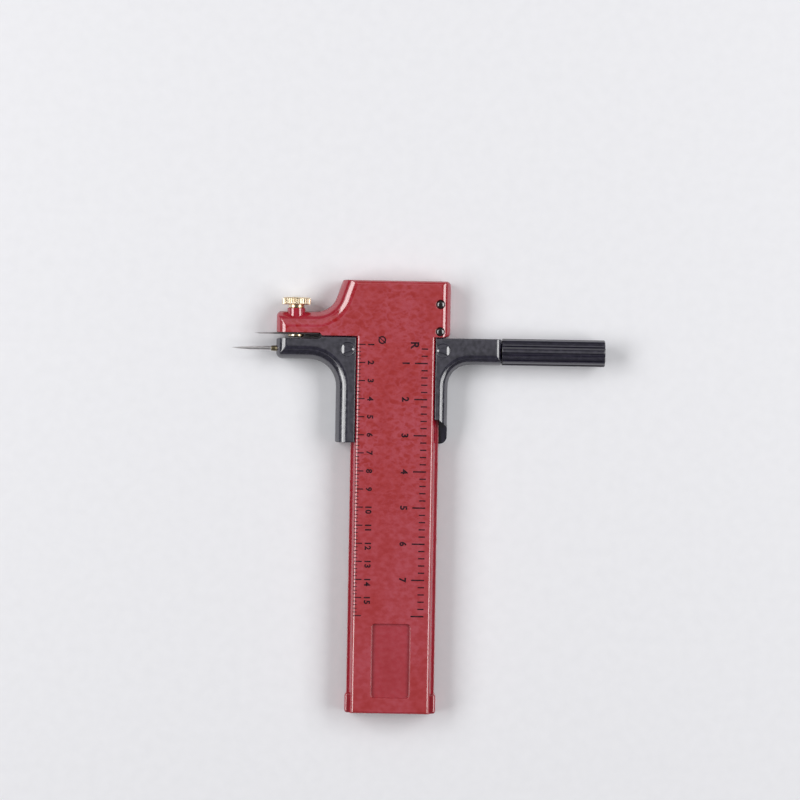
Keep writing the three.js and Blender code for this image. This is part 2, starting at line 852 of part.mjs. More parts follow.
function sliderBody() {
  const slab = roundedSlab(sliderCorners(), 0, sliderFace);
  const rightBase = sliderRight + rightIndexOutset;
  const leftBase = sliderLeft + leftIndexInset;
  const whole = cut(slab, [
    ...beamRoom(),
    ...sliderPockets(),
    ...sliderBores(),
    cornerCutter(-jawReach, needleJawTop, 1, -1, needleJawRadius),
    cornerCutter(-jawReach, needleJawBottom, 1, 1, needleJawRadius),
    cornerCutter(sliderRight, sliderBottom, -1, 1, sliderHeelRadius),
  ]);
  const solid = join([
    whole,
    indexMark(leftBase, leftBase + indexLength),
    indexMark(rightBase, rightBase - indexLength),
  ]);
  return piece('slider_body', solid, { color: 0x3a3740, roughness: 0.4, metalness: 0 });
}

function needle() {
  const solid = turnedAboutX([
    [0, needleTip],
    [needleRadius, needleTip + needleTaper],
    [needleRadius, needleEnd],
    [0, needleEnd],
  ], needleLine, axisHeight, shaftSides);
  return piece('needle', solid, { color: 0xc7aeb2, roughness: 0.25, metalness: 1 });
}

function needleBush() {
  const start = -jawReach - bushOutreach;
  const end = start + bushLength;
  const body = turnedAboutX(rod(bushRadius, start, end), needleLine, axisHeight, shaftSides);
  const bore = turnedAboutX(
    rod(needleRadius + seatGap, start - overrun, end + overrun),
    needleLine,
    axisHeight,
    boreSides,
  );
  return piece('needle_bush', body.subtract(bore), { color: 0xb4aab0, roughness: 0.35, metalness: 1 });
}

// The spring strip, bowed along a parabola, with its crest against the beam's flange
function gibSpring() {
  const middle = (springTop + springBottom) / 2;
  const halfLength = (springTop - springBottom) / 2;
  const crest = -flangeEdge - seatGap;
  const bowed = [];
  for (let i = 0; i <= springSteps; i += 1) {
    const share = i * 2 / springSteps - 1;
    bowed.push([crest - springBow * share * share, middle + share * halfLength]);
  }
  const back = bowed.map(([x, y]) => [x - springThickness, y]).reverse();
  const height = (sliderBackWall + channelTop) / 2;
  const solid = prismAlongZ([...bowed, ...back], height - springWidth / 2, height + springWidth / 2);
  return piece('gib_spring', solid, { color: 0xb9b9be, roughness: 0.3, metalness: 1 });
}

function brakeShoe() {
  const start = flangeEdge + turnGap;
  const solid = block(
    [start, start + shoeThickness],
    [needleLine - shoeWidth / 2, needleLine + shoeWidth / 2],
    [axisHeight - shoeHeight / 2, axisHeight + shoeHeight / 2],
  );
  return piece('brake_shoe', solid, { color: 0xe6e2da, roughness: 0.6, metalness: 0 });
}

function threadInsert() {
  const end = armReach - insertSink;
  const start = end - insertLength;
  const body = turnedAboutX(rod(insertRadius, start, end), needleLine, axisHeight, shaftSides);
  const bore = turnedAboutX(
    rod(studRadius + turnGap, start - overrun, end + overrun),
    needleLine,
    axisHeight,
    boreSides,
  );
  return piece('thread_insert', body.subtract(bore), { color: 0xcdaf69, roughness: 0.35, metalness: 1 });
}

function lockStud() {
  const solid = turnedAboutX(
    rod(studRadius, studStart, studStart + studLength),
    needleLine,
    axisHeight,
    shaftSides,
  );
  return piece('lock_stud', solid, { color: 0xafafb4, roughness: 0.3, metalness: 1 });
}

// The grip's fluted outline, as [y, z] points: a flat rib top and a flat groove floor for each flute
function flutedOutline() {
  const points = [];
  for (let i = 0; i < gripFlutes; i += 1) {
    const pitch = fullTurn / gripFlutes;
    const root = gripRadius - gripFluteDepth;
    const turns = [
      [gripRadius, i - gripRibShare],
      [gripRadius, i + gripRibShare],
      [root, i + gripRibShare + (1 - gripRibShare * 2) * gripGrooveShare],
      [root, i + 1 - gripRibShare - (1 - gripRibShare * 2) * gripGrooveShare],
    ];
    turns.forEach(([radius, turn]) => {
      const y = needleLine + radius * Math.cos(pitch * turn);
      const z = axisHeight + radius * Math.sin(pitch * turn);
      points.push([y, z]);
    });
  }
  return points;
}

function grip() {
  const start = armReach + gripSeam;
  const end = start + gripLength;
  const fluted = prismAlongX(flutedOutline(), start, end);
  const blank = turnedAboutX([
    [0, start],
    [gripRadius - gripChamfer, start],
    [gripRadius + seatGap, start + gripChamfer],
    [gripRadius + seatGap, end - gripChamfer],
    [gripRadius - gripChamfer, end],
    [0, end],
  ], needleLine, axisHeight, gripFlutes * 4);
  const bore = turnedAboutX(
    rod(studRadius + seatGap, start - overrun, studStart + studLength + gripEndRoom),
    needleLine,
    axisHeight,
    boreSides,
  );
  const solid = fluted.intersect(blank).subtract(bore);
  return piece('grip', solid, { color: 0x3b3841, roughness: 0.45, metalness: 0 });
}

const circleCutter = new THREE.Group();
circleCutter.add(
  beam(),
  headBackCover(),
  headScrew('head_screw_upper', headScrewPlaces[0]),
  headScrew('head_screw_lower', headScrewPlaces[1]),
  storageCover(),
  spareBlade('spare_blade_outer', 0),
  spareBlade('spare_blade_inner', 1),
  spareLead(),
  clampNut(),
  clampScrew(),
  blade(),
  sliderBody(),
  needle(),
  needleBush(),
  gibSpring(),
  brakeShoe(),
  threadInsert(),
  lockStud(),
  grip(),
);

export default circleCutter;
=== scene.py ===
# %% [markdown]
# # Dressing a circle cutter
# A circle cutter works like a caliper. A flat beam ends in a head whose jaw clamps a small blade,
# and a slider carries the needle that marks the centre of the circle. A measured solid model gives
# the place of every piece, and this lesson gives each piece its fine shape and its finish. One
# could sculpt on top of the solids, but a piece made anew from formulas stays exact, so the solids
# are only the frame that the new pieces are set in.

# %% The measured frame
import math

import bmesh
import bpy
import numpy as np
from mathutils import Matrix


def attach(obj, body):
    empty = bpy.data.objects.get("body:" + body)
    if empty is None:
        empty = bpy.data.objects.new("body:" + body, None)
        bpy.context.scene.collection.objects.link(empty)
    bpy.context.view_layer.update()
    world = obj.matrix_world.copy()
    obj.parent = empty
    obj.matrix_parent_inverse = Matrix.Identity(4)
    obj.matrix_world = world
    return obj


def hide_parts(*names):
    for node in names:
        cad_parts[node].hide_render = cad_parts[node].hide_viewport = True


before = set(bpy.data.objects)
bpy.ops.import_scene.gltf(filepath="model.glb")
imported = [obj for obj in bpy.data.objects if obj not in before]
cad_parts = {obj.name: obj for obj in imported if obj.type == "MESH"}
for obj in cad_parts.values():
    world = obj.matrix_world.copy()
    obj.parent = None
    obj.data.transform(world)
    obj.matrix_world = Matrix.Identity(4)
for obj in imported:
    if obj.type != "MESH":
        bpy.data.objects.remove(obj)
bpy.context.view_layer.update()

MM = 0.001

# %% [markdown]
# ## A grid becomes a surface
# Every shape here is a grid of points, worked out as one array. A grid could be joined by hand in
# edit mode, but the faces follow from the numbering alone: each point with its right neighbour and
# the two below them.


# %% Faces of a grid, and a mesh from arrays
def grid_faces(rows, columns, ring_of_rows=False):
    """Four-sided faces between neighbouring points of a grid whose columns close into a ring.

    Point (r, c) has number r * columns + c. A face joins (r, c), (r, c + 1), (r + 1, c + 1) and
    (r + 1, c), counting round the ring, and round the rows too where these close as well.
    """
    face_rows = np.arange(rows if ring_of_rows else rows - 1)
    r, c = np.meshgrid(face_rows, np.arange(columns), indexing="ij")
    below, beside = (r + 1) % rows, (c + 1) % columns
    corners = [r * columns + c, r * columns + beside, below * columns + beside, below * columns + c]
    return np.stack(corners, axis=-1).reshape(-1, 4)


def mesh_of(name, places, faces, weld=1e-4):
    """A mesh of places in millimetres, with doubled points merged and its faces turned outwards."""
    mesh = bpy.data.meshes.new(name)
    mesh.from_pydata((places * MM).tolist(), [], faces)
    work = bmesh.new()
    work.from_mesh(mesh)
    bmesh.ops.remove_doubles(work, verts=work.verts, dist=weld * MM)
    bmesh.ops.recalc_face_normals(work, faces=work.faces)
    work.to_mesh(mesh)
    work.free()
    return mesh


print("a 3 by 4 grid has", len(grid_faces(3, 4)), "faces")

# %% [markdown]
# ## Moulded slabs
# Most of the tool is flat and thick with rounded rims, as moulded plastic is. A Bevel modifier
# could round a plain slab, but the real rims differ from edge to edge. So the outline is drawn
# again at every height, with each edge drawn in by its own amount, and the outlines are stacked.


# %% Outlines with their own rounding on each edge
def outlines(corners, insets, kept=0.25, steps=12):
    """The outline at each level, as [levels, points, 2], from corners [x, y, radius].

    The corners go counterclockwise. Each edge moves inwards by its inset at that level, and two
    neighbouring edges cross at P. The corner's arc lies on the circle that touches both: its
    centre is P + s r (n1 + n2) / (1 + n1 . n2), and its points are centre - s r n, while n turns
    evenly from n1 to n2. These are the edges' inward normals, and s is 1 where the corner points
    out and -1 where it points in. r shrinks by the inset outside, and grows by it inside.
    """
    places, radius = corners[:, :2], corners[:, 2]
    along = np.roll(places, -1, axis=0) - places
    along /= np.linalg.norm(along, axis=1, keepdims=True)
    normal = np.stack([-along[:, 1], along[:, 0]], axis=1)
    last = np.roll(normal, 1, axis=0)
    offset = (normal * places).sum(axis=1) + insets
    last_offset = np.roll(offset, 1, axis=1)
    cross = last[:, 0] * normal[:, 1] - last[:, 1] * normal[:, 0]
    dot = (last * normal).sum(axis=1)
    x = (last_offset * normal[:, 1] - offset * last[:, 1]) / cross
    y = (last[:, 0] * offset - normal[:, 0] * last_offset) / cross
    sign = np.sign(cross)
    mean = (insets + np.roll(insets, 1, axis=1)) / 2
    r = np.where(sign > 0, np.maximum(radius - mean, radius * kept), radius + mean)
    bisector = (last + normal) / (1 + dot)[:, None]
    centre = np.stack([x, y], axis=-1) + (sign * r)[..., None] * bisector
    turned_by = np.arctan2(cross, dot)[:, None] * np.linspace(0, 1, steps)
    angle = np.arctan2(last[:, 1], last[:, 0])[:, None] + turned_by
    turning = np.stack([np.cos(angle), np.sin(angle)], axis=-1)
    points = centre[:, :, None, :] - (sign * r)[:, :, None, None] * turning
    return points.reshape(len(insets), -1, 2)


def drawn_in(radii, depth):
    """How far an edge of each radius has drawn in at each depth, along a quarter circle."""
    below = np.clip(radii[None, :] - depth[:, None], 0, None)
    return radii - np.sqrt(np.clip(radii**2 - below**2, 0, None))


def rounding_depths(radii, steps=16):
    """Depths below a face, the deepest first, spread evenly along each radius's quarter circle."""
    turn = np.sin(np.linspace(0, np.pi / 2, steps + 1))
    depths = np.outer(np.unique(radii[radii > 0]), 1 - turn).ravel()
    return np.unique(np.round(np.append(depths, 0), 3))[::-1]


print("a rounding of 3 mm is taken at depths", rounding_depths(np.array([3.0])).tolist())


# %% A stack of outlines as a closed solid
def stack(name, loops, heights):
    """A closed solid of outlines [levels, points, 2] at their heights, flat at either end."""
    levels, points, _ = loops.shape
    z = np.broadcast_to(heights[:, None, None], (levels, points, 1))
    places = np.concatenate([loops, z], axis=2).reshape(-1, 3)
    ends = [list(range(points))[::-1], list(range((levels - 1) * points, levels * points))]
    return mesh_of(name, places, grid_faces(levels, points).tolist() + ends)


def slab(name, corners, bottom, top, rear, front, steps=12):
    """A solid over corners [x, y, radius], with rear and front roundings of the edge after each."""
    corners = np.array(corners, float)
    rear, front = [np.broadcast_to(np.array(r, float), len(corners)) for r in (rear, front)]
    low, high = rounding_depths(rear)[::-1], rounding_depths(front)
    insets = np.concatenate([drawn_in(rear, low), drawn_in(front, high)])
    heights = np.concatenate([bottom + low, top - high])
    return stack(name, outlines(corners, insets, steps=steps), heights)


def box_corners(x0, x1, y0, y1, radius):
    """The four corners of an upright rectangle, going counterclockwise."""
    return [[x1, y0, radius], [x1, y1, radius], [x0, y1, radius], [x0, y0, radius]]


# %% Forms to cut with
def pocket(name, corners, floor, face, floor_round, rim_round, past=1.0):
    """The form of a sunk place between a floor and a face, on either side of the tool.

    It draws in along a quarter circle at the floor and flares along another at the face, which
    leaves a filleted floor and a rounded rim, and it runs a little past the face.
    """
    corners, way, rise = np.array(corners, float), np.sign(face - floor), abs(face - floor)
    foot, rim = np.array([floor_round]), np.array([rim_round])
    low, high = rounding_depths(foot)[::-1], rounding_depths(rim)
    inset = np.concatenate([drawn_in(foot, low), -drawn_in(rim, high), [-rim]])
    heights = np.concatenate([low, rise - high, [rise + past]])
    loops = outlines(corners, np.broadcast_to(inset, (len(inset), len(corners))))
    return stack(name, loops, floor + way * heights)


def wedge(name, points, bottom, top, radius=0.02):
    """An upright form over nearly sharp corners [x, y], going counterclockwise."""
    return slab(name, [[x, y, radius] for x, y in points], bottom, top, 0, 0, steps=2)


def block(name, x, y, z):
    """A plain block between two places on each axis."""
    return wedge(name, [corner[:2] for corner in box_corners(*x, *y, 0)], *z)


def opening(side, face, radius, steps):
    """Profile points on the quarter circle by which a wall at this side opens out to the face."""
    turn = np.linspace(0, np.pi / 2, steps)
    out, up = side + radius * (1 - np.cos(turn)), face - radius + radius * np.sin(turn)
    return np.stack([out, up], axis=1).tolist()


print("a rim of 0.3 mm opens through", opening(0, 0, 0.3, 3))

# %% [markdown]
# ## Turned pieces
# The needle, the screws, the nut and the grip come off a lathe or out of a round mould. A Screw
# modifier could spin a profile, but knurls, flutes and threads need a radius that changes with the
# angle, so the surface is a function of the angle and the place along the profile.


# %% A surface of revolution about any of the three axes
def turned(name, profile, axis, centre, sides=64, relief=None):
    """A closed surface of revolution. Its profile has [radius, along] points.

    The profile starts and ends on the axis, or where it started. A point is the centre plus radius
    (cos a, sin a) across the axis and along on it. Where relief is given, it takes the angles, the
    radii and the places along, and returns the radius there.
    """
    profile = np.array(profile, float)
    turn = np.linspace(0, 2 * np.pi, sides, endpoint=False)
    radius, angle = np.meshgrid(profile[:, 0], turn, indexing="ij")
    along = np.broadcast_to(profile[:, 1:], radius.shape)
    if relief is not None:
        radius = relief(angle, radius, along)
    across, up = centre[0] + radius * np.cos(angle), centre[1] + radius * np.sin(angle)
    order = {"x": [along, across, up], "y": [across, along, up], "z": [across, up, along]}[axis]
    places = np.stack(order, axis=-1).reshape(-1, 3)
    return mesh_of(name, places, grid_faces(len(profile), sides).tolist())


# %% Profiles with softened corners
def softened(points, radius, steps=5):
    """A profile whose inner corners give way to arcs of the given radius, where these fit.

    An arc is a quadratic curve from the point at that distance before the corner to the one after.
    """
    points = np.array(points, float)
    corner, arms = points[1:-1], np.stack([points[:-2], points[2:]]) - points[1:-1]
    length = np.linalg.norm(arms, axis=2, keepdims=True)
    start, end = corner + arms / length * np.minimum(radius, length * 0.45)
    t = np.linspace(0, 1, steps)[None, :, None]
    arcs = (1 - t) ** 2 * start[:, None] + 2 * t * (1 - t) * corner[:, None] + t**2 * end[:, None]
    return np.concatenate([points[:1], arcs.reshape(-1, 2), points[-1:]])


def rod(name, radius, start, end, axis, centre, sides=48, soft=0.0):
    """A round rod between two places on its axis, with plain or softened ends."""
    profile = [[0, start], [radius, start], [radius, end], [0, end]]
    return turned(name, softened(profile, soft) if soft else profile, axis, centre, sides)


def ring(points, radius):
    """The closed profile of a ring, with softened corners but for the two on its bore."""
    return np.concatenate([softened(points, radius), points[:1]])


def fine_along(profile, count):
    """The profile with more points on its longest run along the axis, for a thread."""
    here = np.argmax(np.abs(np.diff(profile[:, 1])))
    run = np.linspace(profile[here], profile[here + 1], count)
    return np.concatenate([profile[:here], run, profile[here + 2:]])


def carried(name, profile, y0, y1):
    """A profile of [x, z] points carried straight along Y from y0 to y1, with flat ends."""
    profile = np.array(profile, float)
    count = len(profile)
    x, z = np.tile(profile[:, 0], 2), np.tile(profile[:, 1], 2)
    places = np.stack([x, np.repeat([y0, y1], count), z], axis=1)
    ends = [list(range(count)), list(range(count, 2 * count))[::-1]]
    return mesh_of(name, places, grid_faces(2, count).tolist() + ends)


print("a square corner becomes", len(softened([[0, 0], [1, 0], [1, 1]], 0.2)) - 2, "points")

# %% [markdown]
# ## Joining, cutting and smoothing
# A mould joins simple forms into one and leaves holes where its pins stood. Blender's Boolean
# modifier does the same, and its Manifold solver keeps closed solids closed. Flat faces must stay
# flat to the light beside their rounded rims, so the edges are parted by angle and the normals are
# weighted by area.


# %% One moulding from several forms
def put_in_scene(name, data):
    """A new object of the scene that holds the data."""
    thing = bpy.data.objects.new(name, data)
    bpy.context.scene.collection.objects.link(thing)
    return thing


def mesh_from(thing):
    """The mesh that an object's modifiers, or its text, come to. The object itself goes."""
    seen = thing.evaluated_get(bpy.context.evaluated_depsgraph_get())
    mesh = bpy.data.meshes.new_from_object(seen)
    bpy.data.objects.remove(thing)
    return mesh


def moulded(name, base, joined=(), cut=()):
    """The base with some meshes joined to it and then others cut out of it, as one closed mesh."""
    blank, tools = put_in_scene(name, base), []
    for operation, meshes in (("UNION", joined), ("DIFFERENCE", cut)):
        for mesh in meshes:
            tools.append(put_in_scene("tool", mesh))
            step = blank.modifiers.new("step", "BOOLEAN")
            step.operation, step.object, step.solver = operation, tools[-1], "MANIFOLD"
    bpy.context.view_layer.update()
    result = mesh_from(blank)
    for tool in tools:
        bpy.data.objects.remove(tool)
    result.name = name
    return result


# %% A finished piece
def place(name, mesh, body, material, nodes=(), smooth=32):
    """A finished piece, smooth but for edges sharper than the angle, and what the frame is told."""
    thing = put_in_scene(name, mesh)
    mesh.materials.clear()
    mesh.materials.append(material)
    mesh.shade_smooth()
    mesh.set_sharp_from_angle(angle=math.radians(smooth))
    weigh = thing.modifiers.new("weighted normals", "WEIGHTED_NORMAL")
    weigh.keep_sharp = True
    weigh.weight = 50
    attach(thing, body)
    if nodes:
        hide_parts(*nodes)
    work = bmesh.new()
    work.from_mesh(mesh)
    volume = work.calc_volume(signed=True) / MM**3
    open_edges = sum(not edge.is_manifold for edge in work.edges)
    work.free()
    print(f"{name}: {len(mesh.vertices)} points, {volume:.1f} mm3, {open_edges} open edges")


# %% [markdown]
# ## Finishes
# Each finish is a small network of nodes on one Principled shader. A picture could be wrapped round
# the pieces, but noise in the piece's own coordinates needs no unwrapping and keeps its scale.


# %% A new finish
def feed(tree, node, inputs):
    """Gives each input, by name or number, a number, a colour or another node's output."""
    for key, value in inputs.items():
        if isinstance(value, bpy.types.NodeSocket):
            tree.links.new(value, node.inputs[key])
        else:
            node.inputs[key].default_value = (*value, 1) if isinstance(value, tuple) else value


def add_node(tree, kind, inputs, **settings):
    """A new node of a kind, with its settings and its inputs."""
    node = tree.nodes.new("ShaderNode" + kind)
    for setting, choice in settings.items():
        setattr(node, setting, choice)
    feed(tree, node, inputs)
    return node


def finish(name, color, roughness, others=()):
    """A new material with its shader and the object coordinates that its patterns read.

    Others are more inputs of the shader, by name.
    """
    material = bpy.data.materials.new(name)
    material.use_nodes = True
    tree = material.node_tree
    shader = tree.nodes["Principled BSDF"]
    feed(tree, shader, {"Base Color": color, "Roughness": roughness, **dict(others)})
    return material, tree, shader, add_node(tree, "TexCoord", {}).outputs["Object"]


# %% Patterns, bumps and reckoning
def noise(tree, coordinates, size, detail=3.0, stretch=(1, 1, 1)):
    """Noise with blotches of about size millimetres, drawn out along an axis by its stretch."""
    scale = [1 / (size * MM * s) for s in stretch]
    scaled = add_node(tree, "Mapping", {"Vector": coordinates, "Scale": scale}).outputs[0]
    return add_node(tree, "TexNoise", {"Vector": scaled, "Scale": 1, "Detail": detail}).outputs[0]


def bumps(tree, shader, height, depth, under=None):
    """Bumps of the given depth in millimetres, on top of those of another bump node if any."""
    inputs = {"Strength": 1, "Distance": depth * MM, "Height": height}
    if under is not None:
        inputs["Normal"] = under
    normal = add_node(tree, "Bump", inputs).outputs["Normal"]
    feed(tree, shader, {"Normal": normal})
    return normal


def spread(tree, value, low, high, to_low, to_high):
    """The value carried from one range to another, and held at its ends."""
    inputs = dict(enumerate((value, low, high, to_low, to_high)))
    return add_node(tree, "MapRange", inputs).outputs["Result"]


def blend_colors(tree, value, first, second):
    """A colour between two, by a value from 0 to 1."""
    return add_node(tree, "Mix", {0: value, 6: first, 7: second}, data_type="RGBA").outputs[2]


def mottled(tree, value, low, high, first, second):
    """A colour that goes from the first to the second while a value goes from low to high."""
    return blend_colors(tree, spread(tree, value, low, high, 0, 1), first, second)


def arithmetic(tree, operation, first, second=0.0):
    """One sum, product, difference or larger one of two values, or the size of the first."""
    return add_node(tree, "Math", {0: first, 1: second}, operation=operation).outputs[0]


def times(tree, first, second):
    """High where both values are high."""
    return arithmetic(tree, "MULTIPLY", first, second)


def apart(tree, value, middle):
    """How far a value is from its middle. A noise turns into thin winding lines where this is 0."""
    return arithmetic(tree, "ABSOLUTE", arithmetic(tree, "SUBTRACT", value, middle))


# %% [markdown]
# ### Gloss of a moulding
# A moulding's flat faces are a little matt, and its roundings come out bright. One could paint a
# mask for that, but the flat faces lie at known levels, so the height above the back tells them
# from the roundings.

# %% Levels of the flat faces, and gloss by level
FACE, PANEL_FLOOR = 8.0, 7.2
SLIDER_FACE, DISH_FLOOR = 7.9, 7.6
FLAT_WITHIN, ROUND_FROM = 0.015, 0.06


def near_level(tree, height, level):
    """1 on a flat face that lies at this level, falling to 0 a little above or below it."""
    away = apart(tree, height, level * MM)
    return spread(tree, away, ROUND_FROM * MM, FLAT_WITHIN * MM, 0, 1)


def moulded_gloss(tree, shader, height, levels, patches, satin, refraction):
    """The roughness of the patches, and more of it by satin on the flat faces at two levels."""
    flat = arithmetic(tree, "MAXIMUM", *[near_level(tree, height, level) for level in levels])
    rough = arithmetic(tree, "ADD", patches, times(tree, flat, satin))
    feed(tree, shader, {"Roughness": rough, "IOR": refraction})


print("matt levels in mm:", FACE, PANEL_FLOOR, SLIDER_FACE, DISH_FLOOR)

# %% [markdown]
# ### Red plastic
# The beam is dark red plastic. Its sunk places keep a bare red, while its printed face carries a
# painted sheen: pale wisps and blotches of a millimetre or two, as a clear film lying on it would
# reflect, which grow even towards the end and stronger on the left. The sheen could be painted by
# hand, but the height above the back tells which points are on that face. Two noises make the
# sheen, one lets it come and go, one makes the grain, and one that is drawn out along the beam
# makes the scratches of the sliding jaw.


# %% Red plastic
def red_plastic():
    """Bare red below the printed face, and on it a deeper red under a painted sheen of pale
    blotches.
    """
    material, tree, shader, coordinates = finish("moulded_red_plastic", (0.36, 0.03, 0.045), 0.3)
    x, y, z = add_node(tree, "SeparateXYZ", {0: coordinates}).outputs
    # The printed face gets the deep red under the painted sheen. Below it, the bare red takes over
    # all but a third.
    on_face = spread(tree, z, (PANEL_FLOOR - 0.1) * MM, (FACE - FLAT_WITHIN) * MM, 0.35, 1)
    blotches = noise(tree, coordinates, 1.2, detail=4, stretch=(1.4, 1, 1))
    wisps = noise(tree, coordinates, 2.0, detail=3, stretch=(1.3, 1, 1))
    flow = noise(tree, coordinates, 9, detail=2, stretch=(1, 2.5, 1))
    scratches = noise(tree, coordinates, 0.12, detail=2, stretch=(1, 30, 1))
    grain = noise(tree, coordinates, 0.12, detail=2)
    bare_red = mottled(tree, flow, 0.35, 0.7, (0.34, 0.006, 0.022), (0.37, 0.01, 0.03))
    deep = mottled(tree, blotches, 0.35, 0.65, (0.34, 0.001, 0.002), (0.38, 0.002, 0.006))
    # Painted sheen, as of a clear film on the face: pale wisps and blotches that grow even towards
    # the end and stronger on the left.
    even = spread(tree, y, -36 * MM, -62 * MM, 0, 0.6)
    line = arithmetic(tree, "ADD", apart(tree, wisps, 0.5), times(tree, even, 0.1))
    near_line = spread(tree, line, 0.0, 0.09, 1, 0)
    sheen_on_left = spread(tree, x, -18 * MM, -4 * MM, 0.35, 0)
    clouded = arithmetic(tree, "ADD", spread(tree, flow, 0.4, 0.65, 0.25, 0.8), sheen_on_left)
    sheen_wisps = blend_colors(tree, times(tree, near_line, clouded), deep, (0.455, 0.054, 0.088))
    blotchy = arithmetic(tree, "ADD", spread(tree, blotches, 0.42, 0.7, 0, 1), even)
    sheen_veil = blend_colors(tree, times(tree, blotchy, clouded), sheen_wisps, (0.415, 0.032, 0.053))
    feed(tree, shader, {"Base Color": blend_colors(tree, on_face, bare_red, sheen_veil)})
    patches = spread(tree, blotches, 0.3, 0.7, 0.08, 0.16)
    moulded_gloss(tree, shader, z, (FACE, PANEL_FLOOR), patches, satin=0.3, refraction=2.0)
    under = bumps(tree, shader, grain, 0.0015)
    bumps(tree, shader, spread(tree, scratches, 0.62, 0.8, 0, 1), 0.0015, under)
    return material


RED = red_plastic()
print("red plastic has", len(RED.node_tree.nodes), "nodes")

# %% [markdown]
# ### Black plastic
# The slider and the grip are black with a touch of blue, a faint cloud in their gloss and a few
# pale specks of dust. A plain black would look like a hole. Real black plastic is a very dark grey
# whose look comes from what it reflects, so the noise goes mostly into the roughness.


# %% Black plastic
def black_plastic():
    """Near black with a cloudy gloss, pale specks of dust and a fine moulded texture."""
    material, tree, shader, coordinates = finish(
        "moulded_black_plastic", (0.032, 0.029, 0.043), 0.3)
    height = add_node(tree, "SeparateXYZ", {0: coordinates}).outputs["Z"]
    cloud = noise(tree, coordinates, 1.1, detail=5)
    specks = noise(tree, coordinates, 0.3, detail=3)
    grain = noise(tree, coordinates, 0.13, detail=2)
    rubbed = noise(tree, coordinates, 0.15, detail=2, stretch=(14, 1, 1))
    color = mottled(tree, cloud, 0.35, 0.68, (0.003, 0.002, 0.012), (0.018, 0.015, 0.034))
    dust = spread(tree, specks, 0.64, 0.8, 0, 0.5)
    feed(tree, shader, {"Base Color": blend_colors(tree, dust, color, (0.2, 0.19, 0.21))})
    patches = spread(tree, cloud, 0.3, 0.7, 0.14, 0.24)
    levels = SLIDER_FACE, DISH_FLOOR
    moulded_gloss(tree, shader, height, levels, patches, satin=0.24, refraction=2.15)
    under = bumps(tree, shader, grain, 0.002)
    bumps(tree, shader, spread(tree, rubbed, 0.6, 0.8, 0, 1), 0.001, under)
    return material


BLACK = black_plastic()
print("black plastic has", len(BLACK.node_tree.nodes), "nodes")

# %% [markdown]
# ### Metals
# Brass is turned, so its fine marks run round it. The blade is ground across its edge, the needle
# is polished along its length, and the head screws have a dark coating under a thin film of oil.
# Each could be a network of its own, but one function serves them all: noise that is drawn out
# along the marks moves the roughness and the surface, and slow noise gives tarnish.


# %% Brass and steel
METALLIC = {"Metallic": 1.0}
OILED = {"Coat Weight": 1.0, "Coat Roughness": 0.1, "Coat IOR": 1.7}


def metal(name, color, dull, roughness, marks, mark_size=0.05, others=METALLIC, depth=0.0015):
    """A metal with fine marks drawn out along the given axes, and tarnish of its dull colour."""
    material, tree, shader, coordinates = finish(name, color, roughness, others)
    tarnish = noise(tree, coordinates, 1.8, detail=4)
    fine = noise(tree, coordinates, mark_size, detail=2, stretch=marks)
    shade = mottled(tree, tarnish, 0.4, 0.75, color, dull)
    rough = spread(tree, fine, 0.3, 0.7, roughness * 0.75, roughness * 1.35)
    feed(tree, shader, {"Base Color": shade, "Roughness": rough})
    bumps(tree, shader, fine, depth)
    return material


ROUND, FINE_ROUND, ACROSS, ALONG = (1, 40, 1), (1, 30, 1), (1, 1, 30), (30, 1, 1)
BRASS = metal("turned_brass", (0.88, 0.76, 0.57), (0.7, 0.51, 0.27), 0.25, ROUND)
BLADE = metal("ground_blade_steel", (0.33, 0.31, 0.31), (0.22, 0.2, 0.2), 0.3, ACROSS, 0.04)
NEEDLE = metal("polished_needle_steel", (0.86, 0.83, 0.84), (0.74, 0.71, 0.72), 0.33, ALONG, 0.04)
SLEEVE = metal("burnished_sleeve_steel", (0.25, 0.21, 0.13), (0.15, 0.12, 0.07), 0.34, FINE_ROUND)
SPRING = metal("bright_spring_steel", (0.52, 0.52, 0.54), (0.42, 0.42, 0.44), 0.28, FINE_ROUND)
DARK = metal("blackened_steel", (0.008, 0.006, 0.007), (0.02, 0.012, 0.014), 0.14, (1, 1, 1),
             0.08, others=OILED)
print("brass has", len(BRASS.node_tree.nodes), "nodes")

# %% [markdown]
# ### Small finishes
# The brake shoe is a pale bearing plastic, the lead is graphite, and the scales are black ink that
# hardly shines and lets the red through where it is worn thin. One flat value would look like wax,
# so each has a grain of its own scale.


# %% Pale plastic, graphite and ink
def grained(name, color, second, roughness, size, depth, stretch=(1, 1, 1), others=()):
    """A plain material between two colours, with one grain in its gloss and its surface."""
    material, tree, shader, coordinates = finish(name, color, roughness, others)
    grain = noise(tree, coordinates, size, detail=3, stretch=stretch)
    shade = mottled(tree, grain, 0.3, 0.7, color, second)
    rough = spread(tree, grain, 0.3, 0.7, roughness * 0.8, roughness * 1.2)
    feed(tree, shader, {"Base Color": shade, "Roughness": rough})
    bumps(tree, shader, grain, depth)
    return material


PALE = grained("natural_acetal", (0.76, 0.73, 0.67), (0.8, 0.77, 0.72), 0.45, 0.2, 0.003)
LEAD = grained("graphite", (0.03, 0.03, 0.034), (0.06, 0.058, 0.064), 0.35, 0.15, 0.004,
               stretch=(1, 12, 1))
INK = grained("black_ink", (0.004, 0.004, 0.007), (0.07, 0.014, 0.022), 0.6, 0.7, 0.001,
              others={"Specular IOR Level": 0.15})
print("ink has", len(INK.node_tree.nodes), "nodes")

# %% [markdown]
# ## The beam
# The beam is one moulding: a bar with flanges that the slider runs on, a raised face for the
# scales, a wide head, and a jaw beside it. Its rims differ, from a crisp edge along the bar to a
# deep rounding on the jaw. It could be carved from one block, but joined slabs keep their own
# measures, and the hollows, the holes and the sunk panel are cut out of them last.

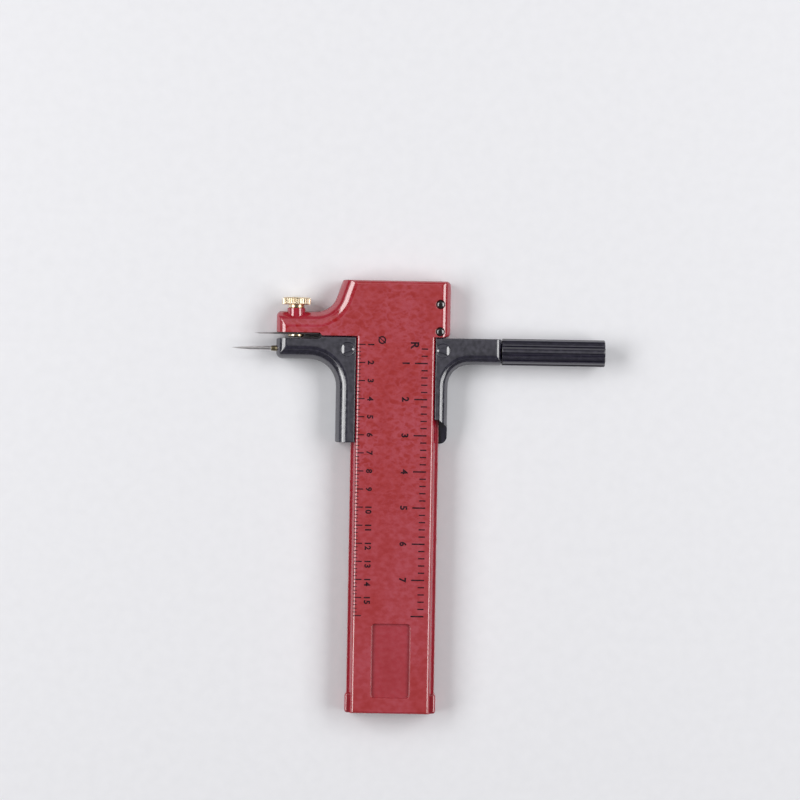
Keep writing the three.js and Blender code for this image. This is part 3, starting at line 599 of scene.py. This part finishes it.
# %% Measures of the beam
FLANGE_BACK, FLANGE_TOP = 1.75, 4.6
RAISED_FOOT, FLANGE_EDGE = 11.65, 12.2
BEAM_END, LUG_START, LUG_TOP = -107.07, -101.5, 6.4
HEAD_LEFT, HEAD_RIGHT, HEAD_TOP, SHOULDER = -15.0, 15.0, 12.85, -2.7
JAW_TIP, JAW_TOP, SEAT = -33.2, 4.0, -1.95
SEAT_ROOT, SHOULDER_LEFT = -21.1, -20.5
HEAD_SLANT = math.radians(19)
HEAD_FOOT = HEAD_LEFT - (HEAD_TOP - JAW_TOP) * math.tan(HEAD_SLANT)
CRISP, BACK_ROUND, TIP_ROUND = 0.15, 1.4, 3.6
AXIS_Z = 4.2
CLAMP_AXIS = (-27.8, AXIS_Z)
SCREW_PLACES = ((12.2, 6.4), (12.2, -1.15))
PAST_FACE = 9
print("beam in mm:", round(HEAD_TOP - BEAM_END, 2), "long,", HEAD_RIGHT - JAW_TIP, "over its jaw")

# %% [markdown]
# The sides of the raised face lean inwards, so that the moulding leaves its mould, and end in a
# rounding of 1 mm. From above, the leaning side shows as a pale line beside the darker flange. A
# tapered slab with a bevel would do, but one row of levels gives the lean and the rounding at once.

# %% Section of the bar
DRAFT, EDGE_ROUND = math.radians(16), 1.0
LEAN = math.tan(DRAFT) * (FACE - EDGE_ROUND * (1 - math.sin(DRAFT)) - FLANGE_TOP)
FLAT_EDGE = RAISED_FOOT - LEAN - EDGE_ROUND * math.cos(DRAFT)


def face_height(x):
    """Height of the printed face: flat in the middle, then a circle of EDGE_ROUND falls away."""
    past = np.clip(np.abs(x) - FLAT_EDGE, 0, EDGE_ROUND)
    return FACE - EDGE_ROUND + np.sqrt(EDGE_ROUND**2 - past**2)


def raised_bar(steps=14, end_round=0.7):
    """The bar: its sides go straight up to the flange, lean to the circle's start, then round."""
    turn = np.linspace(DRAFT, np.pi / 2, steps)
    rounded = FACE - EDGE_ROUND + EDGE_ROUND * np.sin(turn)
    height = np.concatenate([[FLANGE_BACK, FLANGE_TOP], rounded])
    side = np.concatenate([[0, 0], RAISED_FOOT - FLAT_EDGE - EDGE_ROUND * np.cos(turn)])
    end = drawn_in(np.array([end_round]), FACE - height)[:, 0]
    corners = np.array(box_corners(-RAISED_FOOT, RAISED_FOOT, BEAM_END, 0, 0.3), float)
    return stack("raised", outlines(corners, np.stack([side, end, side, end], axis=1)), height)


print("flat part of the face ends", round(FLAT_EDGE, 2), "mm from the middle")

# %% Head, bar and lugs
head = slab("head", [
    [HEAD_RIGHT, SHOULDER, 1.2], [HEAD_RIGHT, HEAD_TOP, 1.2], [HEAD_LEFT, HEAD_TOP, 0.3],
    [HEAD_FOOT, JAW_TOP, 6.0], [JAW_TIP, JAW_TOP, 1.3], [JAW_TIP, SEAT, 0.4],
    [SEAT_ROOT, SEAT, 0.1], [SHOULDER_LEFT, SHOULDER, 0.1],
], 0, FACE, rear=[CRISP, *[BACK_ROUND] * 4, CRISP, CRISP, CRISP],
    front=[3.0, 1.6, 5.0, 5.0, TIP_ROUND, CRISP, CRISP, CRISP])
raised = raised_bar()
flange_corners = box_corners(-FLANGE_EDGE, FLANGE_EDGE, BEAM_END, 0, 0.3)
flange = slab("flange", flange_corners, FLANGE_BACK, FLANGE_TOP, 0.2, 0.2)
lugs = [
    slab("lug", box_corners(x, x + 4.2, BEAM_END, LUG_START, 0.8), 0, LUG_TOP, 0.8, 0.8)
    for x in (-12.6, 8.4)
]
boss = rod("boss", 2.5, 0, 4.85, "y", CLAMP_AXIS, sides=96, soft=0.25)
print("the head has", len(head.vertices), "points")

# %% [markdown]
# The back of the bar is hollowed in four pockets with ribs between them, which saves plastic and
# keeps the face from sinking as it cools. Behind the panel there is a store for spare blades, with
# grooves for its cover. A box could cut each hollow, but a form with a rounded end leaves a
# filleted floor, as a mould's core would.

# %% Hollows, holes and the sunk panel
PITCH, RIB, POCKET_START = 18.3925, 1.6, -6
pockets = [
    pocket("hollow", box_corners(-5.5, 5.5, POCKET_START - (i + 1) * PITCH + RIB,
                                 POCKET_START - i * PITCH, 0.6), 4.15, FLANGE_BACK, 0.4, 0.12)
    for i in range(4)
]
STORE_LENGTH, GROOVE_TOP = (-108.1, -80.97), 3.05
store = [
    block("mouth", (-5.85, 5.85), STORE_LENGTH, (-1, GROOVE_TOP)),
    block("grooves", (-6.55, 6.55), STORE_LENGTH, (2.35, GROOVE_TOP)),
    pocket("store", box_corners(-5.2, 5.2, -102.87, -81.87, 0.6), 5.9, GROOVE_TOP, 0.4, 0.05),
]
panel_corners = box_corners(-5.35, 5.35, -102.7, -82.2, 0.9)
panel = pocket("panel", panel_corners, PANEL_FLOOR, FACE, 0.2, 0.15)
cavity = pocket("cavity", box_corners(-11.4, 9.6, -0.9, 11.05, 0.8), 6.2, 1.0, 0.5, 0.05)
cover_room = block("cover room", (-13.25, 16), (-2.75, 14), (-1, 2.05))
sink_profile = [[0, 6.0], [1.25, 6.0], *opening(1.25, FACE, 0.25, 8), [1.5, PAST_FACE],
                [0, PAST_FACE]]
sinks = [turned("sink", sink_profile, "z", spot, 64) for spot in SCREW_PLACES]
bores = [rod("bore", 0.95, 0, 7.9, "z", spot) for spot in SCREW_PLACES]
clamp_bore = rod("clamp bore", 1.35, -2.4, 6, "y", CLAMP_AXIS, sides=64)

beam = moulded("beam_moulding", head, [raised, flange, *lugs, boss],
               [cavity, cover_room, *sinks, *bores, clamp_bore, *pockets, *store, panel])
place("beam_moulding", beam, "beam", RED, ["beam"])

# %% [markdown]
# ## The head's back cover
# The head is hollow, and a flat cover closes it from behind, held by two screws from the front. It
# could be split off the head, but a slab of its own is simpler. Its outer edges are rounded like
# the head's and its inner ones are crisp, so that only a thin seam shows.

# %% Cover and screws
pilots = [rod("pilot", 0.8, 0.3, 3, "z", spot) for spot in SCREW_PLACES]
cover = slab("cover", [[HEAD_RIGHT, SHOULDER, 1.2], [HEAD_RIGHT, HEAD_TOP, 1.2],
                       [-13.2, HEAD_TOP, 0.2], [-13.2, SHOULDER, 0.2]],
             0, 2.0, rear=[BACK_ROUND, BACK_ROUND, 0.12, 0.12], front=0.0)
cover = moulded("cover", cover, cut=pilots)
place("head_cover_moulding", cover, "beam", RED, ["head_back_cover"])


def head_screw(name, spot, node, radius=1.15, crown=7.75, fall=0.4):
    """A slotted screw whose top is a dome: its height falls with the radius squared."""
    dome = [[radius * s, crown - fall * s * s] for s in np.linspace(1, 0, 12)]
    shank = softened([[0, 0.4], [0.55, 0.4], [0.75, 0.8], [0.75, 6.05], [radius, 6.05], dome[0]],
                     0.12)
    body = turned("screw", np.concatenate([shank, dome[1:]]), "z", spot, 64)
    slot = block("slot", (spot[0] - 0.15, spot[0] + 0.15), (spot[1] - 2, spot[1] + 2),
                 (7.35, PAST_FACE))
    place(name, moulded("screw", body, cut=[slot]), "beam", DARK, [node])


head_screw("upper_cheese_screw", SCREW_PLACES[0], "head_screw_upper")
head_screw("lower_cheese_screw", SCREW_PLACES[1], "head_screw_lower")

# %% [markdown]
# ## Blades
# The blade is a thin strip of steel with a point like a small spear. Both edges of the point are
# ground to a wedge, and a slot lets the clamp screw pass. It could be a flat plate with bevels cut
# later, but here it is one closed ring of loops: the slot, the end of the grinding, the sharp edge,
# and the same again on the back.


# %% A ground blade with its slot
def blade_loops(length=17.9, half=2.5, point=4.3, slot=(10.15, 15.85), reach=1.35, grind=0.75,
                broken=0.02):
    """The slot, the ground line and the edge, as [3, points, 2] of along and across.

    The slot is a run with round ends. A ray leaves each of its points at a right angle, and meets
    the outline where the least of its distances to the outline's five lines lies. The ground line
    is that outline with its two pointed edges moved in by the width of the grinding, and the
    others by a broken edge.
    """
    first, last = slot[0] + reach, slot[1] - reach
    slope = math.hypot(point, half)
    lines = np.array([[-half / slope, point / slope, 0], [-half / slope, -point / slope, 0],
                      [0, 1, half], [0, -1, half], [1, 0, length]])
    tips = np.array([[0, 0], [point, -half], [point, half], [length, -half], [length, half]])
    foot = np.clip(tips[:, 0], first, last)
    hits = np.arctan2(tips[:, 1], tips[:, 0] - foot) % (2 * np.pi)
    ends = np.linspace(-np.pi / 2, np.pi / 2, 25)
    angle = np.concatenate([ends % (2 * np.pi), (ends + np.pi) % (2 * np.pi), hits])
    angle = np.unique(np.round(angle, 6))
    ray = np.stack([np.cos(angle), np.sin(angle)], axis=1)
    middle = np.where(ray[:, 0] > 1e-9, last, first)
    inner = np.stack([middle, np.zeros_like(middle)], axis=1) + ray * reach
    moved = lines - np.outer([grind, grind, broken, broken, broken], [0, 0, 1])
    loops = [inner]
    for bounds in (moved, lines):
        closing = ray @ bounds[:, :2].T
        closing = np.where(closing > 1e-9, closing, np.nan)
        away = (bounds[:, 2] - inner @ bounds[:, :2].T) / closing
        loops.append(inner + ray * np.nanmin(away, axis=1)[:, None])
    return np.stack(loops)


def ground_blade(name, to_place, thickness=0.4, edge=0.04, broken=0.02):
    """A blade as a closed ring of six loops. to_place turns along, across and height to places."""
    slot, ground, rim = blade_loops(broken=broken)
    pointed = np.linalg.norm(ground - rim, axis=1) > 0.1
    rim_half = np.where(pointed, edge / 2, thickness / 2 - broken)
    half = np.full(len(slot), thickness / 2)
    rows = [(slot, half), (ground, half), (rim, rim_half), (rim, -rim_half), (ground, -half),
            (slot, -half)]
    places = np.concatenate([to_place(loop[:, 0], loop[:, 1], height) for loop, height in rows])
    faces = grid_faces(6, len(slot), ring_of_rows=True).tolist()
    return mesh_of(name, places, faces, weld=1e-5)


print("a blade's loop has", blade_loops().shape[1], "points")

# %% [markdown]
# The blade in use stands on its edge in the jaw's seat, with its point out to the left. The two
# spare ones lie flat in the store, one on the other, with the pencil lead beside them.

# %% The blade in use, the two spare ones and the lead
BLADE_TIP, BLADE_Y = -39.3, -2.2
STORE_LEFT, STORE_END = -2.4, -101.27
working = ground_blade(
    "blade", lambda a, c, h: np.stack([BLADE_TIP + a, BLADE_Y + h, AXIS_Z + c], axis=1))
place("ground_blade", working, "blade", BLADE, ["blade"], smooth=20)
for name, node, height in (("spare_blade_a", "spare_blade_outer", 3.2),
                           ("spare_blade_b", "spare_blade_inner", 3.65)):
    spare = ground_blade(
        name, lambda a, c, h: np.stack([STORE_LEFT + c, STORE_END + a, height + h], axis=1))
    place(name, spare, "beam", BLADE, [node], smooth=20)
lead = rod("lead", 1, -101.37, -83.37, "y", (3.9, 4.05), soft=0.15)
place("pencil_lead", lead, "beam", LEAD, ["spare_lead"])

# %% [markdown]
# ## The clamp
# A brass screw passes through the blade and the jaw, and a knurled nut draws its flat head against
# the blade. Copies of one tooth could make the knurl, but the radius can simply rise and fall with
# the angle, and the thread is a ridge that climbs as the angle grows.


# %% Knurled nut and threaded screw
def knurl(angle, radius, along, teeth=36, depth=0.24, start=5.8, outer=4.0):
    """Broad ridges and narrow grooves: the radius is outer less depth times the cube of a wave."""
    wave = (1 - np.cos(angle * teeth)) / 2
    return np.where(along >= start - 1e-6, np.minimum(radius, outer - depth * wave**3), radius)


def thread(start, end, crest, pitch, depth):
    """A relief whose ridge climbs by one pitch for each turn, between two places along the axis.

    The radius is the crest less depth times the distance from the ridge, in half pitches.
    """
    def shape(angle, radius, along):
        phase = (along / pitch - angle / (2 * np.pi)) % 1
        ridge = crest - depth * np.abs(2 * phase - 1)
        threaded = (along > start) & (along < end) & (radius > crest - 0.01)
        return np.where(threaded, ridge, radius)
    return shape


nut_profile = ring([[1.3, 7.8], [3.5, 7.8], [4.0, 7.4], [4.0, 5.95], [3.75, 5.8], [2.2, 5.75],
                    [2.2, 4.9], [1.3, 4.9]], 0.12)
nut = turned("nut", nut_profile, "y", CLAMP_AXIS, 288, knurl)
place("knurled_nut", nut, "clamp_nut", BRASS, ["clamp_nut"], smooth=40)
screw_profile = softened([[0, -3.15], [1.95, -3.15], [2.15, -2.95], [2.15, -2.45], [1.2, -2.45],
                          [1.2, 7.25], [1.05, 7.4], [0, 7.4]], 0.08)
screw = turned("screw", fine_along(screw_profile, 260), "y", CLAMP_AXIS, 48,
               thread(3.0, 7.2, crest=1.2, pitch=0.45, depth=0.16))
place("clamp_screw_turned", screw, "clamp_screw", BRASS, ["clamp_screw"], smooth=40)

# %% [markdown]
# ## The slider
# The slider wraps round the flanges of the bar. Its jaw on the left holds the needle, and its arm
# on the right the grip. It could be joined from three blocks, but here it is one slab whose outline
# sweeps into both, and the room for the bar, the pockets and the bores are cut out. Two small
# raised triangles point at the scales, each in a shallow round dish.

# %% Body of the slider
SLIDER_TOP, SLIDER_BOTTOM, SLIDER_LEFT, SLIDER_RIGHT = -2.9, -32.2, -16.5, 14.5
ARM_END, ARM_BOTTOM = 29.3, -10.1
NEEDLE_JAW_TOP, NEEDLE_JAW_BOTTOM, NEEDLE_Y = -3.6, -9.2, -6.4
NEEDLE_AXIS = (NEEDLE_Y, AXIS_Z)
blank = slab("slider", [
    [SLIDER_RIGHT, SLIDER_BOTTOM, 2.1], [SLIDER_RIGHT, ARM_BOTTOM, 6.0],
    [ARM_END, ARM_BOTTOM, 0.5], [ARM_END, SLIDER_TOP, 0.5], [SHOULDER_LEFT, SLIDER_TOP, 0.1],
    [SEAT_ROOT, NEEDLE_JAW_TOP, 0.1], [JAW_TIP, NEEDLE_JAW_TOP, 0.4],
    [JAW_TIP, NEEDLE_JAW_BOTTOM, 1.6], [SLIDER_LEFT, NEEDLE_JAW_BOTTOM, 7.5],
    [SLIDER_LEFT, SLIDER_BOTTOM, 0.4],
], 0, SLIDER_FACE,
    rear=[BACK_ROUND, BACK_ROUND, 0.9, 0.4, CRISP, CRISP, BACK_ROUND, BACK_ROUND, BACK_ROUND, 0.4],
    front=[3.0, 3.0, 1.8, 0.6, CRISP, 0.3, TIP_ROUND, 4.0, 4.0, 0.4])
print("slider blank has", len(blank.vertices), "points")

# %% Room for the bar, and the open lip
LIP_EDGE, LIP_ROUND, ROOM = 11.05, 0.3, 0.15
CHANNEL_BACK, CHANNEL_TOP = 1.6, 4.75
BELOW, ABOVE = SLIDER_BOTTOM - 1, SLIDER_TOP + 1
lean_end = FLANGE_TOP + (RAISED_FOOT + ROOM - LIP_EDGE) / math.tan(DRAFT)
half_gap = [[RAISED_FOOT + ROOM, CHANNEL_BACK], [RAISED_FOOT + ROOM, FLANGE_TOP],
            [LIP_EDGE, lean_end], *opening(LIP_EDGE, SLIDER_FACE, LIP_ROUND, 5),
            [LIP_EDGE + LIP_ROUND, PAST_FACE]]
rooms = [
    carried("gap", [*half_gap, *[[-x, z] for x, z in half_gap[::-1]]], BELOW, ABOVE),
    block("channel", (-12.35, 12.35), (BELOW, ABOVE), (CHANNEL_BACK, CHANNEL_TOP)),
    wedge("open lip", [[17, BELOW], [17, -29.7], [12.2, -25.5], [0, -25.5], [0, BELOW]],
          CHANNEL_TOP, PAST_FACE),
    wedge("thin lip", [[13.05, BELOW], [12.3, -25.4], [10, -25.4], [10, BELOW]], CHANNEL_BACK, 6),
    block("brake pocket", (12.15, 15.05), (NEEDLE_Y - 2.4, NEEDLE_Y + 2.4), (2.1, 6.3)),
    block("spring pocket", (-13.5, 0), (-29.6, -6.6), (CHANNEL_BACK, CHANNEL_TOP)),
]
print("the gap leans in up to", round(lean_end, 2), "mm above the back")

# %% Bores and dishes
axis_bores = [
    rod("axis bore", radius, start, end, "x", NEEDLE_AXIS)
    for radius, start, end in ((0.65, -33.5, -18.95), (1.0, -34, -24.95), (2.05, 12.3, 30),
                               (2.85, 19.45, 30))
]
dish_rim = [[1.7 + 0.3 * math.sin(a), DISH_FLOOR + 0.3 * (1 - math.cos(a))]
            for a in np.linspace(0, 1.3, 8)]
dish_profile = [[0, DISH_FLOOR], *dish_rim, [2.5, PAST_FACE], [0, PAST_FACE]]
dishes = [turned("dish", dish_profile, "z", (x, NEEDLE_Y), 64) for x in (-13.3, 13.1)]
print(len(axis_bores), "bores and", len(dishes), "dishes")


# %% Index marks, and the slider in one piece
def pointer(base, apex, side, half=1.45, blunt=0.25, foot=6.9, rise=0.32):
    """A triangle with a blunt tip: its base and its tip slope up to the flat top.

    The outline is drawn in, edge by edge, while it rises, so that each side is one flat facet.
    The flanks stay steep and end in a narrow chamfer that catches a line of light.
    """
    way = np.array([-half, -blunt, blunt, half]) * side
    corner_rounds = [0.12, 0.1, 0.1, 0.12]
    corners = np.stack([[base, apex, apex, base], NEEDLE_Y + way, corner_rounds], axis=1)
    share = np.array([0, 0, 0.6, 1])
    tip_slope, base_slope = 0.6, 0.75
    inset = np.stack([[0, 0, 0.03, 0.2], share * tip_slope, [0, 0, 0.03, 0.2], share * base_slope],
                     axis=1)
    heights = DISH_FLOOR + rise * share
    heights[0] = foot
    return stack("mark", outlines(corners, inset, kept=0.9), heights)


marks = [pointer(-15.0, -11.5, 1), pointer(14.8, 11.35, -1)]
slider = moulded("slider", blank, cut=[*rooms, *axis_bores, *dishes])
slider = moulded("slider", slider, joined=marks)
place("slider_moulding", slider, "slider", BLACK, ["slider_body"], smooth=18)

# %% [markdown]
# ## Needle, bush and spring
# The needle is a long taper with a slightly blunt point. A cone would do, but its tip would show as
# a hair, so the taper is fuller near the point. The bush is a short metal sleeve, turned as well.
# The spring strip, hidden in the slider's left wall, keeps its solid.

# %% Needle and bush
POINT_RADIUS, SHANK_RADIUS, FULLNESS = 0.02, 0.6, 2.4
TAPER_START, TAPER_LENGTH = -45.58, 9.58
taper = [[POINT_RADIUS + (SHANK_RADIUS - POINT_RADIUS) * (1 - (1 - s)**FULLNESS),
          TAPER_START + TAPER_LENGTH * s] for s in np.linspace(0, 1, 16)]
shank = softened([[SHANK_RADIUS, -35.9], [SHANK_RADIUS, -19.0], [0, -19.0]], 0.1)
needle = turned("needle", [[0, TAPER_START - 0.02], *taper, *shank], "x", NEEDLE_AXIS, 48)
place("centre_needle", needle, "slider", NEEDLE, ["needle"])
bush_profile = ring([[0.65, -25], [0.95, -25], [0.95, -33.1], [0.78, -33.35], [0.72, -34.45],
                     [0.65, -34.6]], 0.06)
bush = turned("bush", bush_profile, "x", NEEDLE_AXIS, 64)
place("needle_sleeve", bush, "slider", SLEEVE, ["needle_bush"])
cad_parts["gib_spring"].data.materials.clear()
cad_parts["gib_spring"].data.materials.append(SPRING)

# %% [markdown]
# ## The grip and its brake
# The grip is a knob with twelve flutes. Turning it drives a threaded stud through a brass insert,
# and the stud pushes a shoe against the beam. Cutters could plough the flutes, but they are only a
# radius that dips between flat ribs, and the profile rounds both ends.


# %% Fluted grip
def flutes(angle, radius, along, count=12, outer=3.7, depth=0.5, rib=0.46, flank=0.24,
           turned_by=math.radians(-6)):
    """Ribs and grooves: the radius is outer less depth times a dip, within the plain round form.

    Within each twelfth of a turn the dip is 0 over the rib, 1 over the groove's floor, and on the
    flank between them it climbs as a smooth step.
    """
    from_rib = np.abs(((angle - turned_by) * count / (2 * np.pi) + 0.5) % 1 - 0.5) * 2
    climb = np.clip((from_rib - rib) / flank, 0, 1)
    dip = climb * climb * (3 - 2 * climb)
    return np.minimum(radius, outer - depth * dip)


grip_profile = softened([[0, 50.4], [2.0, 50.4], [2.0, 29.42], [3.5, 29.42], [3.7, 29.55],
                         [3.7, 57.8], [3.5, 58.0], [0, 58.0]], 0.15)
grip = turned("grip", grip_profile, "x", NEEDLE_AXIS, 288, flutes)
place("fluted_grip", grip, "grip", BLACK, ["grip"], smooth=35)

# %% [markdown]
# The stud's thread is cut only on its inner part, which runs in the insert. It could be a helix
# swept along the stud, but the ridge of the clamp screw serves again. The shoe is a small rounded
# block.

# %% Stud, insert and shoe
stud_profile = softened([[0, 13.85], [1.75, 13.85], [1.95, 14.05], [1.95, 50.0], [0, 50.0]], 0.08)
stud = turned("stud", fine_along(stud_profile, 700), "x", NEEDLE_AXIS, 48,
              thread(14.2, 30.5, crest=1.95, pitch=0.7, depth=0.25))
place("threaded_stud", stud, "grip", SPRING, ["lock_stud"], smooth=40)
insert_profile = ring([[2.05, 19.5], [2.8, 19.5], [2.8, 28.5], [2.05, 28.5]], 0.2)
insert = turned("insert", insert_profile, "x", NEEDLE_AXIS, 64)
place("brass_insert", insert, "slider", BRASS, ["thread_insert"])
shoe_corners = box_corners(12.3, 13.8, NEEDLE_Y - 2.3, NEEDLE_Y + 2.3, 0.3)
shoe = slab("shoe", shoe_corners, 2.2, 6.2, 0.25, 0.25)
place("brake_block", shoe, "brake", PALE, ["brake_shoe"])

# %% [markdown]
# ## The store's cover
# A thin cover slides in grooves behind the panel. Slabs could be joined, but one profile with
# wings, carried along the beam, fits the grooves all the way. Five cuts near its end give the thumb
# a hold.

# %% Sliding cover
wings = [[-5.7, 1.75], [5.7, 1.75], [5.7, 2.45], [6.4, 2.45], [6.4, 2.95], [-6.4, 2.95],
         [-6.4, 2.45], [-5.7, 2.45]]
thumb = [rod("groove", 0.35, -3.5, 3.5, "x", (-104.0 + i * 1.1, 1.7), sides=32, soft=0.3)
         for i in range(5)]
store_cover = moulded("store cover", carried("store cover", wings, -107.0, -81.17), cut=thumb)
place("store_cover", store_cover, "storage_cover", RED, ["storage_cover"])

# %% [markdown]
# ## The printed scales
# One scale reads the circle's radius and the other its diameter, both in centimetres. They are pad
# printed in black, so the ink is a real but very thin layer, where a picture would be coarse. Text
# objects are the simple way to draw figures: each is made a mesh and then turned, because the
# figures read from the tool's left side.


# %% Ticks and figures in ink
def ticks(middle, left, right, thickness, proud=0.012, sunk=0.04, stations=9):
    """Thin bars along X that follow the face down its rounded edge: four points at each station.

    A point is (left + (right - left) share, middle +- half the thickness, face_height + proud or
    - sunk).
    """
    middle, left, right = np.broadcast_arrays(np.array(middle, float), left, right)
    x = left[:, None] + (right - left)[:, None] * np.linspace(0, 1, stations)
    x = np.repeat(x[:, :, None], 4, axis=2)
    across = np.array([-1, 1, 1, -1]) * thickness / 2
    y = np.broadcast_to(middle[:, None, None] + across, x.shape)
    z = face_height(x) + np.array([-sunk, -sunk, proud, proud])
    last = 4 * (stations - 1)
    ends = [[3, 2, 1, 0], [last, last + 1, last + 2, last + 3]]
    faces = np.concatenate([grid_faces(stations, 4), ends])
    numbers = (np.arange(len(x))[:, None, None] * 4 * stations + faces).reshape(-1, 4)
    return np.stack([x, y, z], axis=-1).reshape(-1, 3), numbers.tolist()


def figure(text, height, weight):
    """A figure's points and faces, its cap as high as asked and centred along its line.

    The text is extruded by 1 in all, so it has a closed rim, and weight thickens its strokes.
    """
    curve = bpy.data.curves.new(text, "FONT")
    curve.body, curve.size, curve.extrude, curve.offset = text, 1.0, 0.5, weight
    curve.resolution_u = 4
    mesh = mesh_from(put_in_scene(text, curve))
    points = np.empty(len(mesh.vertices) * 3)
    mesh.vertices.foreach_get("co", points)
    points = points.reshape(-1, 3)
    faces = [list(face.vertices) for face in mesh.polygons]
    low, high = points.min(axis=0), points.max(axis=0)
    scale = height / (high[1] - low[1])
    points[:, :2] = (points[:, :2] - [(low[0] + high[0]) / 2, low[1]]) * scale
    return points, faces


print("a tick has", len(ticks([0], 0, 1, 0.3)[1]), "faces")

# %% Both scales as one layer of ink
ink_places, ink_faces = [], []


def add_ink(places, faces):
    """Adds points and faces to the layer, with the faces' numbers moved past the earlier points."""
    before = sum(len(p) for p in ink_places)
    ink_places.append(places)
    ink_faces.extend([[n + before for n in face] for face in faces])


def print_figure(text, foot, middle, height, weight=0.04, level=FACE + 0.001, thickness=0.022):
    """Prints a figure that stands at x = foot and reads towards -Y: (x, y) becomes (y, -x)."""
    points, faces = figure(text, height, weight)
    x, y = foot + points[:, 1], middle - points[:, 0]
    add_ink(np.stack([x, y, level + points[:, 2] * thickness], axis=1), faces)


RADIUS_STEP, DIAMETER_STEP = -10.0, -5.0
minor, fine = -2.0 * np.arange(3, 41), -1.0 * np.arange(5, 81)
add_ink(*ticks(RADIUS_STEP * np.arange(1, 9), 5.3, 8.9, 0.4))
add_ink(*ticks(minor[np.abs(minor % 10) > 0.1], 7.15, 8.9, 0.36))
add_ink(*ticks(DIAMETER_STEP * np.arange(1, 17), -10.75, -8.4, 0.32))
add_ink(*ticks(fine[np.abs(fine % 5) > 0.1], -10.75, -9.65, 0.22))
for n in range(1, 8):
    print_figure(str(n), 1.9, RADIUS_STEP * n, 2.0)
for n in range(1, 16):
    for digit, shift in zip(str(n), (0, 1.25)):
        print_figure(digit, -7.7, DIAMETER_STEP * n - shift, 1.75)
print_figure("R", 4.1, -5.1, 2.35, 0.035)
print_figure("Ø", -4.9, -3.7, 2.2, 0.02)
ink = mesh_of("ink", np.concatenate(ink_places), ink_faces, weld=1e-6)
place("printed_scales", ink, "beam", INK)

# %% [markdown]
# ## Stage, light and camera
# The tool lies on a plain pale floor between two wide soft lamps, left and right, about 50 degrees
# from overhead, with a weaker one beyond the head. A lamp right above would only whiten the flat
# faces, while these two run down the rounded rims and show how round they are. The camera looks
# straight down from far above, so that the sides hardly show, and it is turned by one degree, as
# the tool lies a little askew in the picture.

# %% Floor and lamps
FLOOR_HALF, FLOOR_Z = 1500, -0.02
around = FLOOR_HALF * np.array([[-1, -1, 0], [1, -1, 0], [1, 1, 0], [-1, 1, 0]])
floor = put_in_scene("floor", mesh_of("floor", around + [0, 0, FLOOR_Z], [[0, 1, 2, 3]]))
pale = grained("pale_floor", (0.83, 0.83, 0.86), (0.85, 0.85, 0.88), 0.7, 3, 0.001)
floor.data.materials.append(pale)


def soft_lamp(name, place_m, size, power):
    """A rectangular lamp, with its width and height, that looks at the middle of the tool."""
    data = bpy.data.lights.new(name, "AREA")
    data.shape, data.size, data.size_y, data.energy = "RECTANGLE", *size, power
    lamp = put_in_scene(name, data)
    lamp.location = place_m
    away = lamp.location - type(lamp.location)((0.0, -0.04, 0.0))
    lamp.rotation_euler = away.to_track_quat("Z", "Y").to_euler()
    print(name, "stands at", place_m)


soft_lamp("left_softbox", (-0.69, 0.06, 0.58), (0.95, 0.42), 6.3)
soft_lamp("right_softbox", (0.69, 0.06, 0.58), (0.95, 0.4), 5.8)
soft_lamp("head_softbox", (0.0, 0.65, 0.58), (1.0, 0.6), 0.8)
world = bpy.data.worlds.new("studio")
bpy.context.scene.world = world
world.use_nodes = True
sky = world.node_tree.nodes["Background"]
feed(world.node_tree, sky, {"Color": (1, 1, 1), "Strength": 0.13})

# %% Camera
VIEW_WIDTH, VIEW_DISTANCE, VIEW_MIDDLE = 221.2, 900.0, (1.38, -20.2)
camera = bpy.data.cameras.new("overhead")
camera.sensor_width = 36
camera.lens = camera.sensor_width * VIEW_DISTANCE / VIEW_WIDTH
overhead = put_in_scene("overhead", camera)
overhead.location = [v * MM for v in (*VIEW_MIDDLE, FACE + VIEW_DISTANCE)]
overhead.rotation_euler = (0, 0, math.radians(1.0))
bpy.context.scene.camera = overhead
bpy.context.scene.view_settings.view_transform = "Standard"
print("lens in mm:", round(camera.lens, 1))
